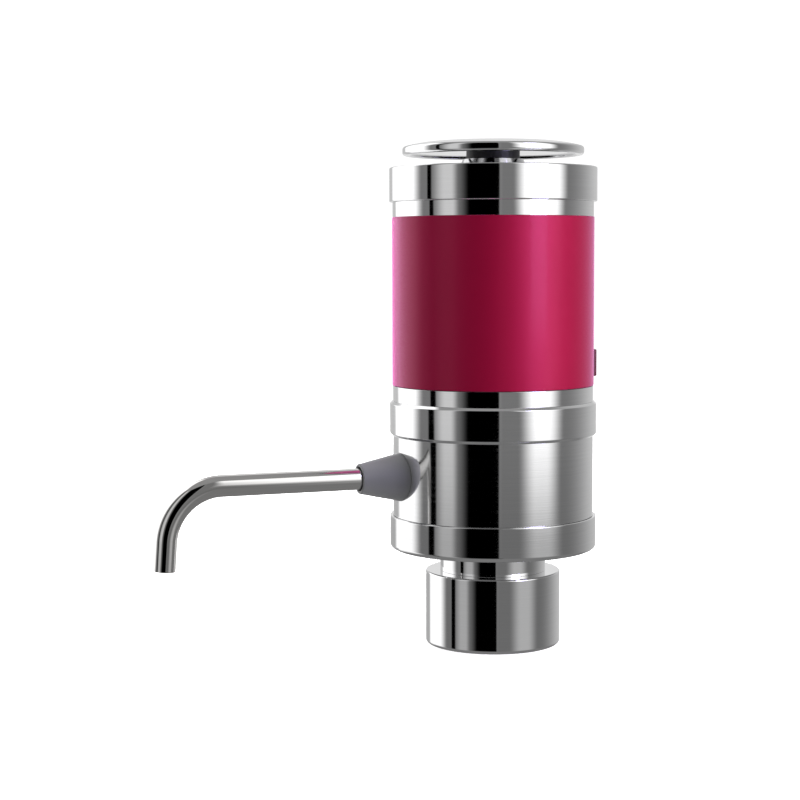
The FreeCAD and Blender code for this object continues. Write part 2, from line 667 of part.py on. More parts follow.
def air_check_valve():
    """Rubber duckbill: a flange in the grommet's seat and a flat bill with a slit."""
    flange = tube(GROMMET_R, CHECK_HOLE_R, GROMMET_SEAT_Z, GROMMET_SEAT_Z + CHECK_FLANGE_T, 0, PUMP_Y)
    bill = cyl(CHANNEL_R - CHECK_BILL_GAP, CROSS_Z + AIR_CROSS_UP, GROMMET_SEAT_Z, 0, PUMP_Y)
    bill = bill.common(block(-CHECK_BILL_T / 2, CHECK_BILL_T / 2, PUMP_Y - CHANNEL_R, PUMP_Y + CHANNEL_R,
                             CROSS_Z, GROMMET_SEAT_Z))
    slit = block(-CHECK_SLIT_T / 2, CHECK_SLIT_T / 2, PUMP_Y - CHECK_SLIT_W / 2, PUMP_Y + CHECK_SLIT_W / 2,
                 CROSS_Z, GROMMET_SEAT_Z)
    return fuse([flange, bill]).cut(slit)


def outlet_grommet():
    foot = GROMMET_SEAT_Z + CHECK_FLANGE_T
    return tube(GROMMET_R, OUTLET_R + FIT, foot, FLANGE_TOP + GROMMET_BOSS_H, 0, PUMP_Y)


def pump_cover():
    body = fuse([cyl(PUMP_R, PUMP_BOTTOM_Z, VALVE_PLATE_Z, 0, PUMP_Y),
                 cyl(OUTLET_R, PUMP_BOTTOM_Z - OUTLET_L, PUMP_BOTTOM_Z, 0, PUMP_Y)])
    plenum_z = PUMP_BOTTOM_Z + COVER_FLOOR_T
    tools = [cyl(OUTLET_BORE_R, PUMP_BOTTOM_Z - OUTLET_L - PAST, VALVE_PLATE_Z, 0, PUMP_Y),
             cyl(OUTLET_PLENUM_R, plenum_z, VALVE_PLATE_Z + PAST, 0, PUMP_Y),
             tube(INLET_PLENUM_R, PLENUM_WALL_R, plenum_z, VALVE_PLATE_Z + PAST, 0, PUMP_Y)]
    for a in CUP_ANGLES:
        tools.append(cyl(COVER_INLET_R, PUMP_BOTTOM_Z - PAST, plenum_z + PAST,
                         *polar(COVER_INLET_PITCH_R, a, 0, PUMP_Y)))
    for a in PUMP_SCREW_ANGLES:
        tools.append(cyl(SMALL_HOLE_R, PUMP_BOTTOM_Z - PAST, VALVE_PLATE_Z + PAST,
                         *polar(PUMP_SCREW_PITCH_R, a, 0, PUMP_Y)))
    return cut(body, tools)


def valve_plate():
    low, high = VALVE_PLATE_Z, MEMBRANE_Z
    body = cyl(PUMP_R, low, high, 0, PUMP_Y)
    stem_hole_r = UMBRELLA_STEM_R + FIT
    tools = [cyl(stem_hole_r, low - PAST, high + PAST, 0, PUMP_Y)]
    for a in CUP_ANGLES:
        x, y = polar(CUP_PITCH_R, a, 0, PUMP_Y)
        tools.append(cyl(stem_hole_r, low - PAST, high + PAST, x, y))
        for side in (-90, 90):
            tools.append(cyl(VALVE_PORT_R, low - PAST, high + PAST, *polar(INLET_PORT_PITCH_R, a + side, x, y)))
    for a in PUMP_SCREW_ANGLES:
        tools.append(cyl(VALVE_PORT_R, low - PAST, high + PAST, *polar(OUTLET_PORT_PITCH_R, a, 0, PUMP_Y)))
        tools.append(cyl(SMALL_HOLE_R, low - PAST, high + PAST, *polar(PUMP_SCREW_PITCH_R, a, 0, PUMP_Y)))
    return cut(body, tools)


def umbrella(x, y, seat_z, up, radius):
    """Rubber valve: a thin cap on the seat and a stem through it."""
    cap = Part.makeCylinder(radius, UMBRELLA_T, V(x, y, seat_z), V(0, 0, up))
    stem_l = VALVE_PLATE_T - UMBRELLA_STEM_SHORT
    stem = Part.makeCylinder(UMBRELLA_STEM_R, stem_l, V(x, y, seat_z), V(0, 0, -up))
    return fuse([cap, stem])


def inlet_valves():
    places = [polar(CUP_PITCH_R, a, 0, PUMP_Y) for a in CUP_ANGLES]
    return Part.makeCompound([umbrella(x, y, MEMBRANE_Z, 1, INLET_UMBRELLA_R) for x, y in places])


def outlet_valve():
    return umbrella(0, PUMP_Y, VALVE_PLATE_Z, -1, OUTLET_UMBRELLA_R)


def pump_diaphragm():
    """Membrane with three cups, whose ends lean with the wobble plate on them."""
    body = cyl(PUMP_R, MEMBRANE_Z, CASE_Z, 0, PUMP_Y)
    span = 2 * PUMP_R
    above, above_inner = [tilted(Part.makeBox(2 * span, 2 * span, span, V(-span, -span, z)))
                          for z in (WOBBLE_LIFT, WOBBLE_LIFT - CUP_WALL)]
    cup_top = CASE_Z + CUP_H
    tools = []
    for a in CUP_ANGLES:
        x, y = polar(CUP_PITCH_R, a, 0, PUMP_Y)
        body = body.fuse(cyl(CUP_R, MEMBRANE_Z, cup_top, x, y).cut(above))
        tools.append(cyl(CUP_R - CUP_WALL, MEMBRANE_Z - PAST, cup_top, x, y).cut(above_inner))
    for a in PUMP_SCREW_ANGLES:
        tools.append(cyl(SMALL_HOLE_R, MEMBRANE_Z - PAST, CASE_Z + PAST,
                         *polar(PUMP_SCREW_PITCH_R, a, 0, PUMP_Y)))
    return cut(body.removeSplitter(), tools)


def pump_case():
    body = cyl(PUMP_R, CASE_Z, MOTOR_Z, 0, PUMP_Y)
    inner = cyl(PUMP_R - CASE_WALL, CASE_Z + CASE_FLOOR_T, MOTOR_Z - CASE_TOP_T, 0, PUMP_Y)
    for a in PUMP_SCREW_ANGLES:
        x, y = polar(PUMP_SCREW_PITCH_R, a, 0, PUMP_Y)
        inner = inner.cut(cyl(PUMP_SCREW_BOSS_R, CASE_Z, MOTOR_Z, x, y))
    tools = [inner, cyl(MOTOR_BOSS_R + FIT, CASE_Z, MOTOR_Z + PAST, 0, PUMP_Y)]
    for a in CUP_ANGLES:
        tools.append(cyl(CUP_R + CUP_GAP, CASE_Z - PAST, CASE_Z + CASE_FLOOR_T + PAST,
                         *polar(CUP_PITCH_R, a, 0, PUMP_Y)))
    for a in PUMP_SCREW_ANGLES:
        tools.append(cyl(SMALL_SCREW_R + SCREW_PILOT_GAP, CASE_Z - PAST, CASE_Z + PUMP_SCREW_TIP + PAST,
                         *polar(PUMP_SCREW_PITCH_R, a, 0, PUMP_Y)))
    for side in (-1, 1):
        tools.append(cyl(SMALL_HOLE_R, MOTOR_Z - CASE_TOP_T - PAST, MOTOR_Z + PAST, 0,
                         PUMP_Y + side * MOTOR_SCREW_PITCH_R))
    vent_z = CASE_Z + CASE_VENT_UP
    wall_y = PUMP_Y + PUMP_R
    tools.append(block(-CASE_VENT_W / 2, CASE_VENT_W / 2, wall_y - 2 * CASE_WALL, wall_y + PAST,
                       vent_z, vent_z + CASE_VENT_H))
    return cut(body, tools)


def pump_screws():
    length = CASE_Z + PUMP_SCREW_TIP - PUMP_BOTTOM_Z
    places = [polar(PUMP_SCREW_PITCH_R, a, 0, PUMP_Y) for a in PUMP_SCREW_ANGLES]
    return Part.makeCompound([small_screw(x, y, PUMP_BOTTOM_Z, length, 1) for x, y in places])


def wobble_plate():
    pieces = [Part.makeCylinder(WOBBLE_HUB_R, WOBBLE_HUB_H, V(0, 0, WOBBLE_LIFT), UP)]
    for a in CUP_ANGLES:
        arm = Part.makeBox(CUP_PITCH_R, WOBBLE_ARM_W, WOBBLE_ARM_T, V(0, -WOBBLE_ARM_W / 2, WOBBLE_LIFT))
        arm.rotate(V(0, 0, 0), UP, a)
        pieces.append(arm)
        x, y = polar(CUP_PITCH_R, a)
        pieces.append(cyl(WOBBLE_PAD_R, WOBBLE_LIFT, WOBBLE_LIFT + WOBBLE_ARM_T, x, y))
    body = fuse(pieces).cut(cyl(PIN_R + RUN, PIN_TIP - PIN_TIP_GAP, WOBBLE_LIFT + WOBBLE_HUB_H + PAST))
    return tilted(body)


def crank_pin():
    return tilted(cyl(PIN_R, PIN_TIP, PIN_TIP + PIN_L))


def eccentric_crank():
    body = cyl(CRANK_R, CRANK_BOTTOM, CRANK_BOTTOM + CRANK_H, 0, PUMP_Y)
    shaft_hole = cyl(SHAFT_R + SCREW_PILOT_GAP, SHAFT_Z, CRANK_BOTTOM + CRANK_H + PAST, 0, PUMP_Y)
    pin_hole = tilted(cyl(PIN_R + SCREW_PILOT_GAP, 0, PIN_TIP + PIN_L + SCREW_PILOT_GAP))
    pocket = cyl(CRANK_POCKET_R, CRANK_BOTTOM + CRANK_POCKET_FLOOR, CRANK_BOTTOM + CRANK_H + PAST,
                 CRANK_POCKET_X, PUMP_Y)
    return cut(body, [shaft_hole, pin_hole, pocket])


def motor_can():
    body = cyl(MOTOR_R, MOTOR_Z, CAP_Z, 0, PUMP_Y)
    body = body.makeFillet(MOTOR_ROUND, rims(body, MOTOR_R, MOTOR_Z))
    body = body.fuse(cyl(MOTOR_BOSS_R, MOTOR_Z - CASE_TOP_T, MOTOR_Z, 0, PUMP_Y)).removeSplitter()
    tools = [cyl(MOTOR_R - MOTOR_WALL, MOTOR_Z + MOTOR_WALL, CAP_Z + PAST, 0, PUMP_Y),
             cyl(SHAFT_R + RUN, MOTOR_Z - CASE_TOP_T - PAST, MOTOR_Z + MOTOR_WALL + PAST, 0, PUMP_Y)]
    for side in (-1, 1):
        tools.append(cyl(SMALL_SCREW_R + SCREW_PILOT_GAP, MOTOR_Z - PAST, MOTOR_Z + MOTOR_WALL + PAST, 0,
                         PUMP_Y + side * MOTOR_SCREW_PITCH_R))
    return cut(body, tools)


def motor_screws():
    seat = MOTOR_Z - CASE_TOP_T
    length = CASE_TOP_T + MOTOR_WALL
    return Part.makeCompound([small_screw(0, PUMP_Y + side * MOTOR_SCREW_PITCH_R, seat, length, 1)
                              for side in (-1, 1)])


def motor_magnets():
    outer = MOTOR_R - MOTOR_WALL - MAGNET_GAP
    z0 = MOTOR_Z + MAGNET_UP
    shell = tube(outer, outer - MAGNET_T, z0, z0 + MAGNET_H, 0, PUMP_Y)
    shell = shell.cut(block(-MOTOR_R, MOTOR_R, PUMP_Y - MAGNET_SPLIT / 2, PUMP_Y + MAGNET_SPLIT / 2,
                            z0 - PAST, CAP_Z))
    return Part.makeCompound(shell.Solids)


def motor_armature():
    z0 = MOTOR_Z + ARMATURE_UP
    top = z0 + ARMATURE_H
    body = cyl(ARMATURE_R, z0, top, 0, PUMP_Y)
    slots = []
    for a in CUP_ANGLES:
        slot = block(ARMATURE_HUB_R, ARMATURE_R + PAST, -ARMATURE_SLOT_W / 2, ARMATURE_SLOT_W / 2,
                     z0 - PAST, top + PAST)
        slot.rotate(V(0, 0, 0), UP, a)
        slot.translate(V(0, PUMP_Y, 0))
        slots.append(slot)
    body = cut(body, slots).fuse(cyl(COMMUTATOR_R, top, top + COMMUTATOR_H, 0, PUMP_Y)).removeSplitter()
    return body.cut(cyl(SHAFT_R + SCREW_PILOT_GAP, z0 - PAST, top + COMMUTATOR_H + PAST, 0, PUMP_Y))


def motor_shaft():
    return cyl(SHAFT_R, SHAFT_Z + SCREW_PILOT_GAP, MOTOR_TOP - MOTOR_CAP_SKIN - TOUCH, 0, PUMP_Y)


def motor_cap():
    plug_z = CAP_Z - MOTOR_CAP_PLUG_H
    body = cyl(MOTOR_R - MOTOR_WALL - FIT, plug_z, CAP_Z, 0, PUMP_Y)
    body = fuse([body, cyl(MOTOR_R, CAP_Z, MOTOR_TOP, 0, PUMP_Y)])
    body = body.makeFillet(MOTOR_CAP_ROUND, rims(body, MOTOR_R, MOTOR_TOP))
    for side in (-1, 1):
        x = side * TERMINAL_X
        body = body.fuse(block(x - TERMINAL_W / 2, x + TERMINAL_W / 2, PUMP_Y - TERMINAL_T / 2,
                               PUMP_Y + TERMINAL_T / 2, MOTOR_TOP, MOTOR_TOP + TERMINAL_H))
    return body.removeSplitter().cut(cyl(SHAFT_R + RUN, plug_z - PAST, MOTOR_TOP - MOTOR_CAP_SKIN, 0, PUMP_Y))


def motor_pad():
    return tube(PAD_R, PAD_HOLE_R, MOTOR_TOP, DECK_UNDER, 0, PUMP_Y)


def motor_leads():
    leads = []
    for side in (-1, 1):
        leads.append(cyl(LEAD_R, MOTOR_TOP + TERMINAL_H, SPLIT_Z, side * TERMINAL_X, PUMP_Y))
    return Part.makeCompound(leads)


# ---------------------------------------------------------------- wine path and spout

def riser_tube():
    bore = BARB_R + FIT
    return tube(bore + RISER_WALL, bore, FLANGE_TOP + RISER_FOOT_GAP, SPOUT_Z - ELBOW_BELOW - TOUCH, 0, RISER_Y)


def spout_elbow():
    low = SPOUT_Z - ELBOW_BELOW
    barb_z = low - ELBOW_BARB_H
    body = fuse([cyl(BARB_R, barb_z, low, 0, RISER_Y),
                 cyl(ELBOW_R, low, SPOUT_Z + ELBOW_ABOVE, 0, RISER_Y),
                 cyl_y(SOCKET_R, -SOCKET_END, RISER_Y, 0, SPOUT_Z),
                 cyl_y(SOCKET_FLANGE_R, -SOCKET_FLANGE_END, -SOCKET_FLANGE_END + SOCKET_FLANGE_T, 0, SPOUT_Z)])
    groove_r = TUBE_R + 2 * ORING_R + 2 * FIT
    half = ORING_R + FIT
    tools = [cyl(CHANNEL_R, barb_z - PAST, SPOUT_Z, 0, RISER_Y),
             cyl_y(CHANNEL_R, -SOCKET_STOP - PAST, RISER_Y, 0, SPOUT_Z),
             cyl_y(TUBE_R + FIT, -SOCKET_END - PAST, -SOCKET_STOP, 0, SPOUT_Z),
             cyl_y(groove_r, -ORING_FROM_AXIS - half, -ORING_FROM_AXIS + half, 0, SPOUT_Z)]
    return cut(body, tools)


def spout_oring():
    return Part.makeTorus(TUBE_R + FIT + ORING_R, ORING_R, V(0, -ORING_FROM_AXIS, SPOUT_Z), ACROSS)


def spout_run(radius):
    """Round bar along the spout's centre line."""
    turn_centre = V(0, -BEND_START, SPOUT_Z - BEND_R)
    straight = cyl_y(radius, -BEND_START, -TUBE_INNER_END, 0, SPOUT_Z)
    start = Part.Face(Part.Wire(Part.makeCircle(radius, V(0, -BEND_START, SPOUT_Z), ACROSS)))
    bend = start.revolve(turn_centre, V(1, 0, 0), BEND_DEG)
    turn = math.radians(BEND_DEG)
    end = turn_centre + V(0, -BEND_R * math.sin(turn), BEND_R * math.cos(turn))
    heading = V(0, -math.cos(turn), -math.sin(turn))
    drop = Part.makeCylinder(radius, (end.z - TIP_Z) / math.sin(turn), end, heading)
    return fuse([straight, bend, drop])


def spout_tube():
    return spout_run(TUBE_R).cut(spout_run(TUBE_R - TUBE_WALL))


def spout_cone():
    """Rubber cone fitted to the shell's curve, with a thin lip round the tube."""
    length = CONE_END - SHELL_BORE
    slope = (CONE_BIG_R - CONE_SMALL_R) / CONE_L
    inner_r = CONE_SMALL_R + slope * length
    cone = Part.makeCone(inner_r, CONE_SMALL_R, length, V(0, -SHELL_BORE, SPOUT_Z), V(0, -1, 0))
    lip = cyl_y(CONE_LIP_R, -CONE_END - CONE_LIP_L, -CONE_END, 0, SPOUT_Z)
    body = fuse([cone, lip])
    return cut(body, [cyl_y(TUBE_R + FIT, -CONE_END - CONE_LIP_L - PAST, 0, 0, SPOUT_Z),
                      cyl(SHELL_R + FIT, SPOUT_Z - 2 * CONE_BIG_R, SPOUT_Z + 2 * CONE_BIG_R)])


# ---------------------------------------------------------------- battery cover

def color_sleeve():
    body = tube(SLEEVE_R, SLEEVE_BORE, SPLIT_Z + SEAM, TOP_BAND_Z)
    half = RELEASE_W / 2 + PRESS_GAP
    return body.cut(block(-half, half, 0, SLEEVE_R + PAST,
                          RELEASE_Z - PRESS_GAP, RELEASE_Z + RELEASE_H + PRESS_GAP))


def top_band():
    body = tube(SHELL_R, SHELL_BORE, TOP_BAND_Z, TOP_COLLAR_Z)
    return fuse([body, tube(SLEEVE_BORE - FIT, SHELL_BORE, TOP_BAND_Z - TOP_SPIGOT_L, TOP_BAND_Z)])


def top_collar():
    body = cyl(BASE_RING_R, TOP_COLLAR_Z, TOP_Z)
    body = body.makeChamfer(TOP_CHAMFER, rims(body, BASE_RING_R, TOP_Z))
    body = body.cut(cyl(RING_BORE, TOP_COLLAR_Z + TOP_SEAT_T, TOP_Z - TOP_PLATE_T))
    plug_z = TOP_COLLAR_Z - TOP_PLUG_H
    body = fuse([body, cyl(SHELL_BORE - FIT, plug_z, TOP_COLLAR_Z)])
    return cut(body, [cyl(BOARD_R + BOARD_GAP, plug_z - PAST, TOP_COLLAR_Z + TOP_SEAT_T + PAST),
                      cyl(GUIDE_R + FIT, TOP_COLLAR_Z, TOP_Z + PAST)])


def button_guide():
    plate_under = TOP_Z - TOP_PLATE_T
    lip = TOP_Z + GUIDE_LIP_H
    return revolve([(GUIDE_BORE, GUIDE_Z), (GUIDE_R, GUIDE_Z), (GUIDE_R, GUIDE_FLANGE_Z),
                    (GUIDE_FLANGE_R, GUIDE_FLANGE_Z), (GUIDE_FLANGE_R, plate_under),
                    (GUIDE_R, plate_under), (GUIDE_R, TOP_Z),
                    (GUIDE_R - GUIDE_LIP_TAPER, lip), (GUIDE_BORE, lip)])


def button_cap():
    """Polished disc: a slightly domed top, a rolled rim and a stepped underside."""
    nose = (BUTTON_R - BUTTON_NOSE_W, BUTTON_NOSE_Z)
    dome, heading = arc_chain((0, BUTTON_TOP_Z), 0, [(BUTTON_R - BUTTON_SHOULDER_W, BUTTON_SHOULDER_Z), nose])
    face_top = (BUTTON_R, BUTTON_NOSE_Z + BUTTON_NOSE_W * math.tan(math.radians((heading - 90) / 2)))
    edge, down = arc_chain(nose, heading, [face_top])
    face_end = (BUTTON_R, BUTTON_BEAD_Z + BUTTON_BEAD_R)
    under_start = (BUTTON_R - BUTTON_RIM_W, BUTTON_UNDER_Z)
    bead, inward = arc_chain(face_end, down, [(BUTTON_R - BUTTON_BEAD_R, BUTTON_BEAD_Z), under_start])
    step_r = BUTTON_R - BUTTON_STEP_W
    under = line_chain([under_start, (step_r + BUTTON_STEP_SLOPE, BUTTON_UNDER_Z), (step_r, BUTTON_STEP_Z),
                        (BUTTON_STEP_IN_R, BUTTON_STEP_Z), (BUTTON_STEP_IN_R, BUTTON_UNDER_Z),
                        (0, BUTTON_UNDER_Z), (0, BUTTON_TOP_Z)])
    outline = Part.Wire(dome + edge + line_chain([face_top, face_end]) + bead + under)
    body = Part.Face(outline).revolve(V(0, 0, 0), UP, 360)
    body.translate(V(0, 0, TOP_Z))
    return body.cut(cyl(STEM_TOP_SPIGOT_R + SCREW_PILOT_GAP, STEM_TOP - PAST,
                        STEM_TOP + STEM_TOP_SPIGOT_H + STEM_SPIGOT_GAP))


def button_stem():
    return revolve([(0, STEM_Z), (STEM_FLANGE_R, STEM_Z), (STEM_FLANGE_R, STEM_Z + STEM_FLANGE_T),
                    (STEM_R, STEM_Z + STEM_FLANGE_T), (STEM_R, STEM_TOP), (STEM_TOP_SPIGOT_R, STEM_TOP),
                    (STEM_TOP_SPIGOT_R, STEM_TOP + STEM_TOP_SPIGOT_H), (0, STEM_TOP + STEM_TOP_SPIGOT_H)])


def button_spring():
    spring = coil(BUTTON_SPRING_R, BUTTON_SPRING_WIRE_R, STEM_Z - BOARD_TOP, SPRING_TURNS)
    spring.translate(V(0, 0, BOARD_TOP))
    return spring


def battery_cage():
    low_top = SPLIT_Z + DECK_SPIGOT_H + CAGE_NECK_H
    pocket_end = CELL_TOP - CAGE_TOP_H
    rib_z = TOP_BAND_Z - CAGE_RIB_FROM_TOP - CAGE_RIB_H
    body = fuse([cyl(CAGE_LOW_R, CAGE_Z, low_top), cyl(CAGE_R, low_top, CELL_TOP),
                 cyl(SLEEVE_BORE - FIT, rib_z, rib_z + CAGE_RIB_H)])
    tools = [cyl(CAGE_HOLE_R, CAGE_Z - PAST, CELL_TOP + PAST)]
    for a in CELL_ANGLES:
        tools.append(cyl(CELL_BORE, CAGE_Z - PAST, CELL_TOP + PAST, *polar(CELL_PITCH_R, a)))
    for a in LIGHTENING_ANGLES:
        tools.append(cyl(CAGE_LIGHTENING_R, CAGE_Z - PAST, pocket_end, *polar(SCREW_PITCH_R, a)))
    for a in BOARD_SCREW_ANGLES:
        tools.append(cyl(SMALL_SCREW_R + SCREW_PILOT_GAP, CELL_TOP - BOARD_SCREW_BITE - SCREW_TIP_GAP,
                         CELL_TOP + PAST, *polar(SCREW_PITCH_R, a)))
    for x, y in CHASSIS_SCREWS:
        tools.append(cyl(SCREW_HEAD_R + LATCH_GAP, CAGE_Z - PAST, pocket_end, x, y))
    pocket_top = RELEASE_MID_Z + RELEASE_H / 2 + LATCH_GAP
    tools.append(block(-LATCH_W / 2 - LATCH_GAP, LATCH_W / 2 + LATCH_GAP, LATCH_BACK_TRAVEL, CAGE_R + PAST,
                       CAGE_Z - PAST, pocket_top))
    spring_pocket_r = RELEASE_SPRING_R + RELEASE_SPRING_WIRE_R + SPRING_POCKET_GAP
    tools.append(cyl_y(spring_pocket_r, RELEASE_SPRING_Y, LATCH_Y, 0, RELEASE_MID_Z))
    return cut(body, tools)


def battery_cells():
    cells = []
    for index, a in enumerate(CELL_ANGLES):
        x, y = polar(CELL_PITCH_R, a)
        nub_up = index % 2 == 0
        low = CELL_Z if nub_up else CELL_Z + CELL_NUB_H
        nub_z = CELL_TOP - CELL_NUB_H if nub_up else CELL_Z
        can = cyl(CELL_R, low, low + CELL_L - CELL_NUB_H, x, y)
        cells.append(fuse([can, cyl(CELL_NUB_R, nub_z, nub_z + CELL_NUB_H, x, y)]))
    return Part.makeCompound(cells)


def strip(start, end, z):
    """Flat contact strip with round ends."""
    length = math.hypot(end[0] - start[0], end[1] - start[1])
    bar = Part.makeBox(length, CONTACT_W, CONTACT_T, V(0, -CONTACT_W / 2, 0))
    bar.rotate(V(0, 0, 0), UP, math.degrees(math.atan2(end[1] - start[1], end[0] - start[0])))
    bar.translate(V(start[0], start[1], z))
    ends = [cyl(CONTACT_W / 2, z, z + CONTACT_T, *p) for p in (start, end)]
    return fuse([bar] + ends)


def spring_leaf(place, degrees, z, rise):
    """Arched leaf that presses on a cell's end."""
    reach = CONTACT_W / 2 - 0.1
    top = rise - TOUCH
    outer = Part.Arc(V(-reach, 0, 0), V(0, 0, top), V(reach, 0, 0)).toShape()
    inside = reach - CONTACT_T
    inner = Part.Arc(V(-inside, 0, 0), V(0, 0, top - CONTACT_T), V(inside, 0, 0)).toShape()
    feet = [Part.LineSegment(V(s * inside, 0, 0), V(s * reach, 0, 0)).toShape() for s in (-1, 1)]
    face = Part.Face(Part.Wire(Part.__sortEdges__([outer, inner] + feet)))
    face.translate(V(0, -LEAF_W / 2, 0))
    leaf = face.extrude(V(0, LEAF_W, 0))
    leaf.rotate(V(0, 0, 0), UP, degrees)
    leaf.translate(V(place[0], place[1], z))
    return leaf


def cell_place(degrees):
    return polar(CELL_PITCH_R, degrees)


def lower_contacts():
    z = SPLIT_Z
    bars = [(cell_place(0), cell_place(300)), (cell_place(180), cell_place(240)),
            (cell_place(60), (TERMINAL_X, PUMP_Y)), (cell_place(120), (-TERMINAL_X, PUMP_Y))]
    pieces = []
    for index, (start, end) in enumerate(bars):
        ends = (start, end) if index < 2 else (start,)
        leaves = [spring_leaf(p, math.degrees(math.atan2(p[1], p[0])), z + CONTACT_T, CONTACT_RISE)
                  for p in ends]
        pieces.append(fuse([strip(start, end, z)] + leaves))
    return Part.makeCompound(pieces)


def upper_contacts():
    bars = [(cell_place(0), cell_place(60)), (cell_place(120), cell_place(180)),
            (cell_place(240), polar(CONTACT_END_R, 240)), (cell_place(300), polar(CONTACT_END_R, 300))]
    return Part.makeCompound([strip(start, end, CELL_TOP) for start, end in bars])


def contact_board():
    body = cyl(BOARD_R, BOARD_Z, BOARD_TOP)
    return cut(body, [cyl(SMALL_HOLE_R, BOARD_Z - PAST, BOARD_TOP + PAST, *polar(SCREW_PITCH_R, a))
                      for a in BOARD_SCREW_ANGLES])


def board_screws():
    places = [polar(SCREW_PITCH_R, a) for a in BOARD_SCREW_ANGLES]
    return Part.makeCompound([small_screw(x, y, BOARD_TOP, BOARD_T + BOARD_SCREW_BITE, -1) for x, y in places])


def switch_body():
    half = SWITCH_W / 2
    body = block(-half, half, -half, half, BOARD_TOP, SWITCH_TOP)
    depth = SWITCH_TOP - PLUNGER_DEPTH - BUTTON_TRAVEL - TOUCH
    return body.cut(cyl(PLUNGER_R + RUN, depth, SWITCH_TOP + PAST))


def switch_plunger():
    return cyl(PLUNGER_R, SWITCH_TOP - PLUNGER_DEPTH, SWITCH_TOP + PLUNGER_UP)


def release_button():
    half = RELEASE_W / 2
    top = RELEASE_Z + RELEASE_H
    body = block(-half, half, LATCH_Y, RELEASE_FACE_R + PAST, RELEASE_Z, top)
    body = body.common(cyl(RELEASE_FACE_R, RELEASE_Z - PAST, top + PAST))
    face_edges = [e for e in body.Edges if e.BoundBox.YMin > SLEEVE_BORE]
    body = body.makeFillet(RELEASE_ROUND, face_edges)
    latch_z = RELEASE_MID_Z - LATCH_H / 2
    pieces = [body, block(-LATCH_W / 2, LATCH_W / 2, LATCH_Y, LATCH_Y + LATCH_T, latch_z, latch_z + LATCH_H)]
    for side in (-1, 1):
        inner, outer = sorted((side * (LATCH_W / 2 - NOSE_W), side * LATCH_W / 2))
        pieces.append(block(inner, outer, LATCH_Y, LATCH_Y + LATCH_T + NOSE_OUT, latch_z, latch_z + LATCH_H))
    return fuse(pieces)


def release_spring():
    spring = coil(RELEASE_SPRING_R, RELEASE_SPRING_WIRE_R, RELEASE_SPRING_L, SPRING_TURNS)
    spring.rotate(V(0, 0, 0), V(1, 0, 0), -90)
    spring.translate(V(0, RELEASE_SPRING_Y, RELEASE_MID_Z))
    return spring


NODES = [bottle_collar, bottle_seal, collar_nut, neck_sleeve, manifold, spigot_oring,
         base_ring, lower_shell, trim_ring, lower_band, base_screws, partition_deck, deck_screws,
         pump_frame, damping_ring, air_check_valve, outlet_grommet, pump_cover, valve_plate,
         inlet_valves, outlet_valve, pump_diaphragm, pump_case, pump_screws, wobble_plate,
         crank_pin, eccentric_crank, motor_can, motor_screws, motor_magnets, motor_armature,
         motor_shaft, motor_cap, motor_pad, motor_leads,
         riser_tube, spout_elbow, spout_oring, spout_tube, spout_cone,
         color_sleeve, top_band, top_collar, button_guide, button_cap, button_stem, button_spring,
         battery_cage, battery_cells, lower_contacts, upper_contacts, contact_board, board_screws,
         switch_body, switch_plunger, release_button, release_spring]

os.makedirs("parts", exist_ok=True)
for make in NODES:
    make().exportStep("parts/" + make.__name__ + ".step")
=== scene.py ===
"""Electric bottle-top wine dispenser: chrome shells, crimson sleeve, steel spout and push button.

Lengths are in millimetres and turn into metres as each mesh is made. Places are in the frame of the
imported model: +Z up, the spout along -Y and the release button on +Y.
"""

import json
import math

import bmesh
import bpy
from mathutils import Matrix, Quaternion, Vector


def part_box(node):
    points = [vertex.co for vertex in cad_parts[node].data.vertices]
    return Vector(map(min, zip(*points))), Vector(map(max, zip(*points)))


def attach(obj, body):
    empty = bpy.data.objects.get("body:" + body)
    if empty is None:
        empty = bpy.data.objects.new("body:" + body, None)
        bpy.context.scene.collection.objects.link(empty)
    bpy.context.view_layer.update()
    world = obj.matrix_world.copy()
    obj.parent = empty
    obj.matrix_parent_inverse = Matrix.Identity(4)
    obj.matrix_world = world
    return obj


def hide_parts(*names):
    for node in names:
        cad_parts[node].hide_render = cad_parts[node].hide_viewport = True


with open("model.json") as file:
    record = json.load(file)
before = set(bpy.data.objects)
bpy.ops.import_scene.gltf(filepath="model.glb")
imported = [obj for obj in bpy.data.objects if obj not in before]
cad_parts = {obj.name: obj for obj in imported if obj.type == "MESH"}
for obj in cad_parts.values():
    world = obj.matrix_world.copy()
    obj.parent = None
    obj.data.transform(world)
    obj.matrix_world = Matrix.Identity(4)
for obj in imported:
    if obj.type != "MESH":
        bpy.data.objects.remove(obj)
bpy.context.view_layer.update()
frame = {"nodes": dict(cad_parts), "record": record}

MM = 0.001


# ---------------------------------------------------------------- sizes

def reach(node):
    """(radius, lowest z, highest z) of an upright round node."""
    low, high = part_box(node)
    return high.x / MM, low.z / MM, high.z / MM


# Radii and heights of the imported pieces
COLLAR_R, RIM_Z, NECK_Z = reach("bottle_collar")
NECK_R, _, BASE_Z = reach("neck_sleeve")
RING_R, _, SHELL_Z = reach("base_ring")
SHELL_R, _, _ = reach("lower_shell")
_, TRIM_Z, LOWER_BAND_Z = reach("trim_ring")
_, _, SPLIT_Z = reach("lower_band")
SLEEVE_R, SLEEVE_Z, TOP_BAND_Z = reach("color_sleeve")
_, _, TOP_COLLAR_Z = reach("top_band")
_, _, TOP_Z = reach("top_collar")
BUTTON_R, _, BUTTON_TOP = reach("button_cap")
GUIDE_FLANGE_R, GUIDE_Z, _ = reach("button_guide")
STEM_FLANGE_R, STEM_Z, STEM_SPIGOT_TOP = reach("button_stem")
CONE_LOW, CONE_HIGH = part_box("spout_cone")
CONE_R = CONE_HIGH.x / MM
CONE_REACH = -CONE_LOW.y / MM
SPOUT_Z = (CONE_LOW.z + CONE_HIGH.z) / 2 / MM

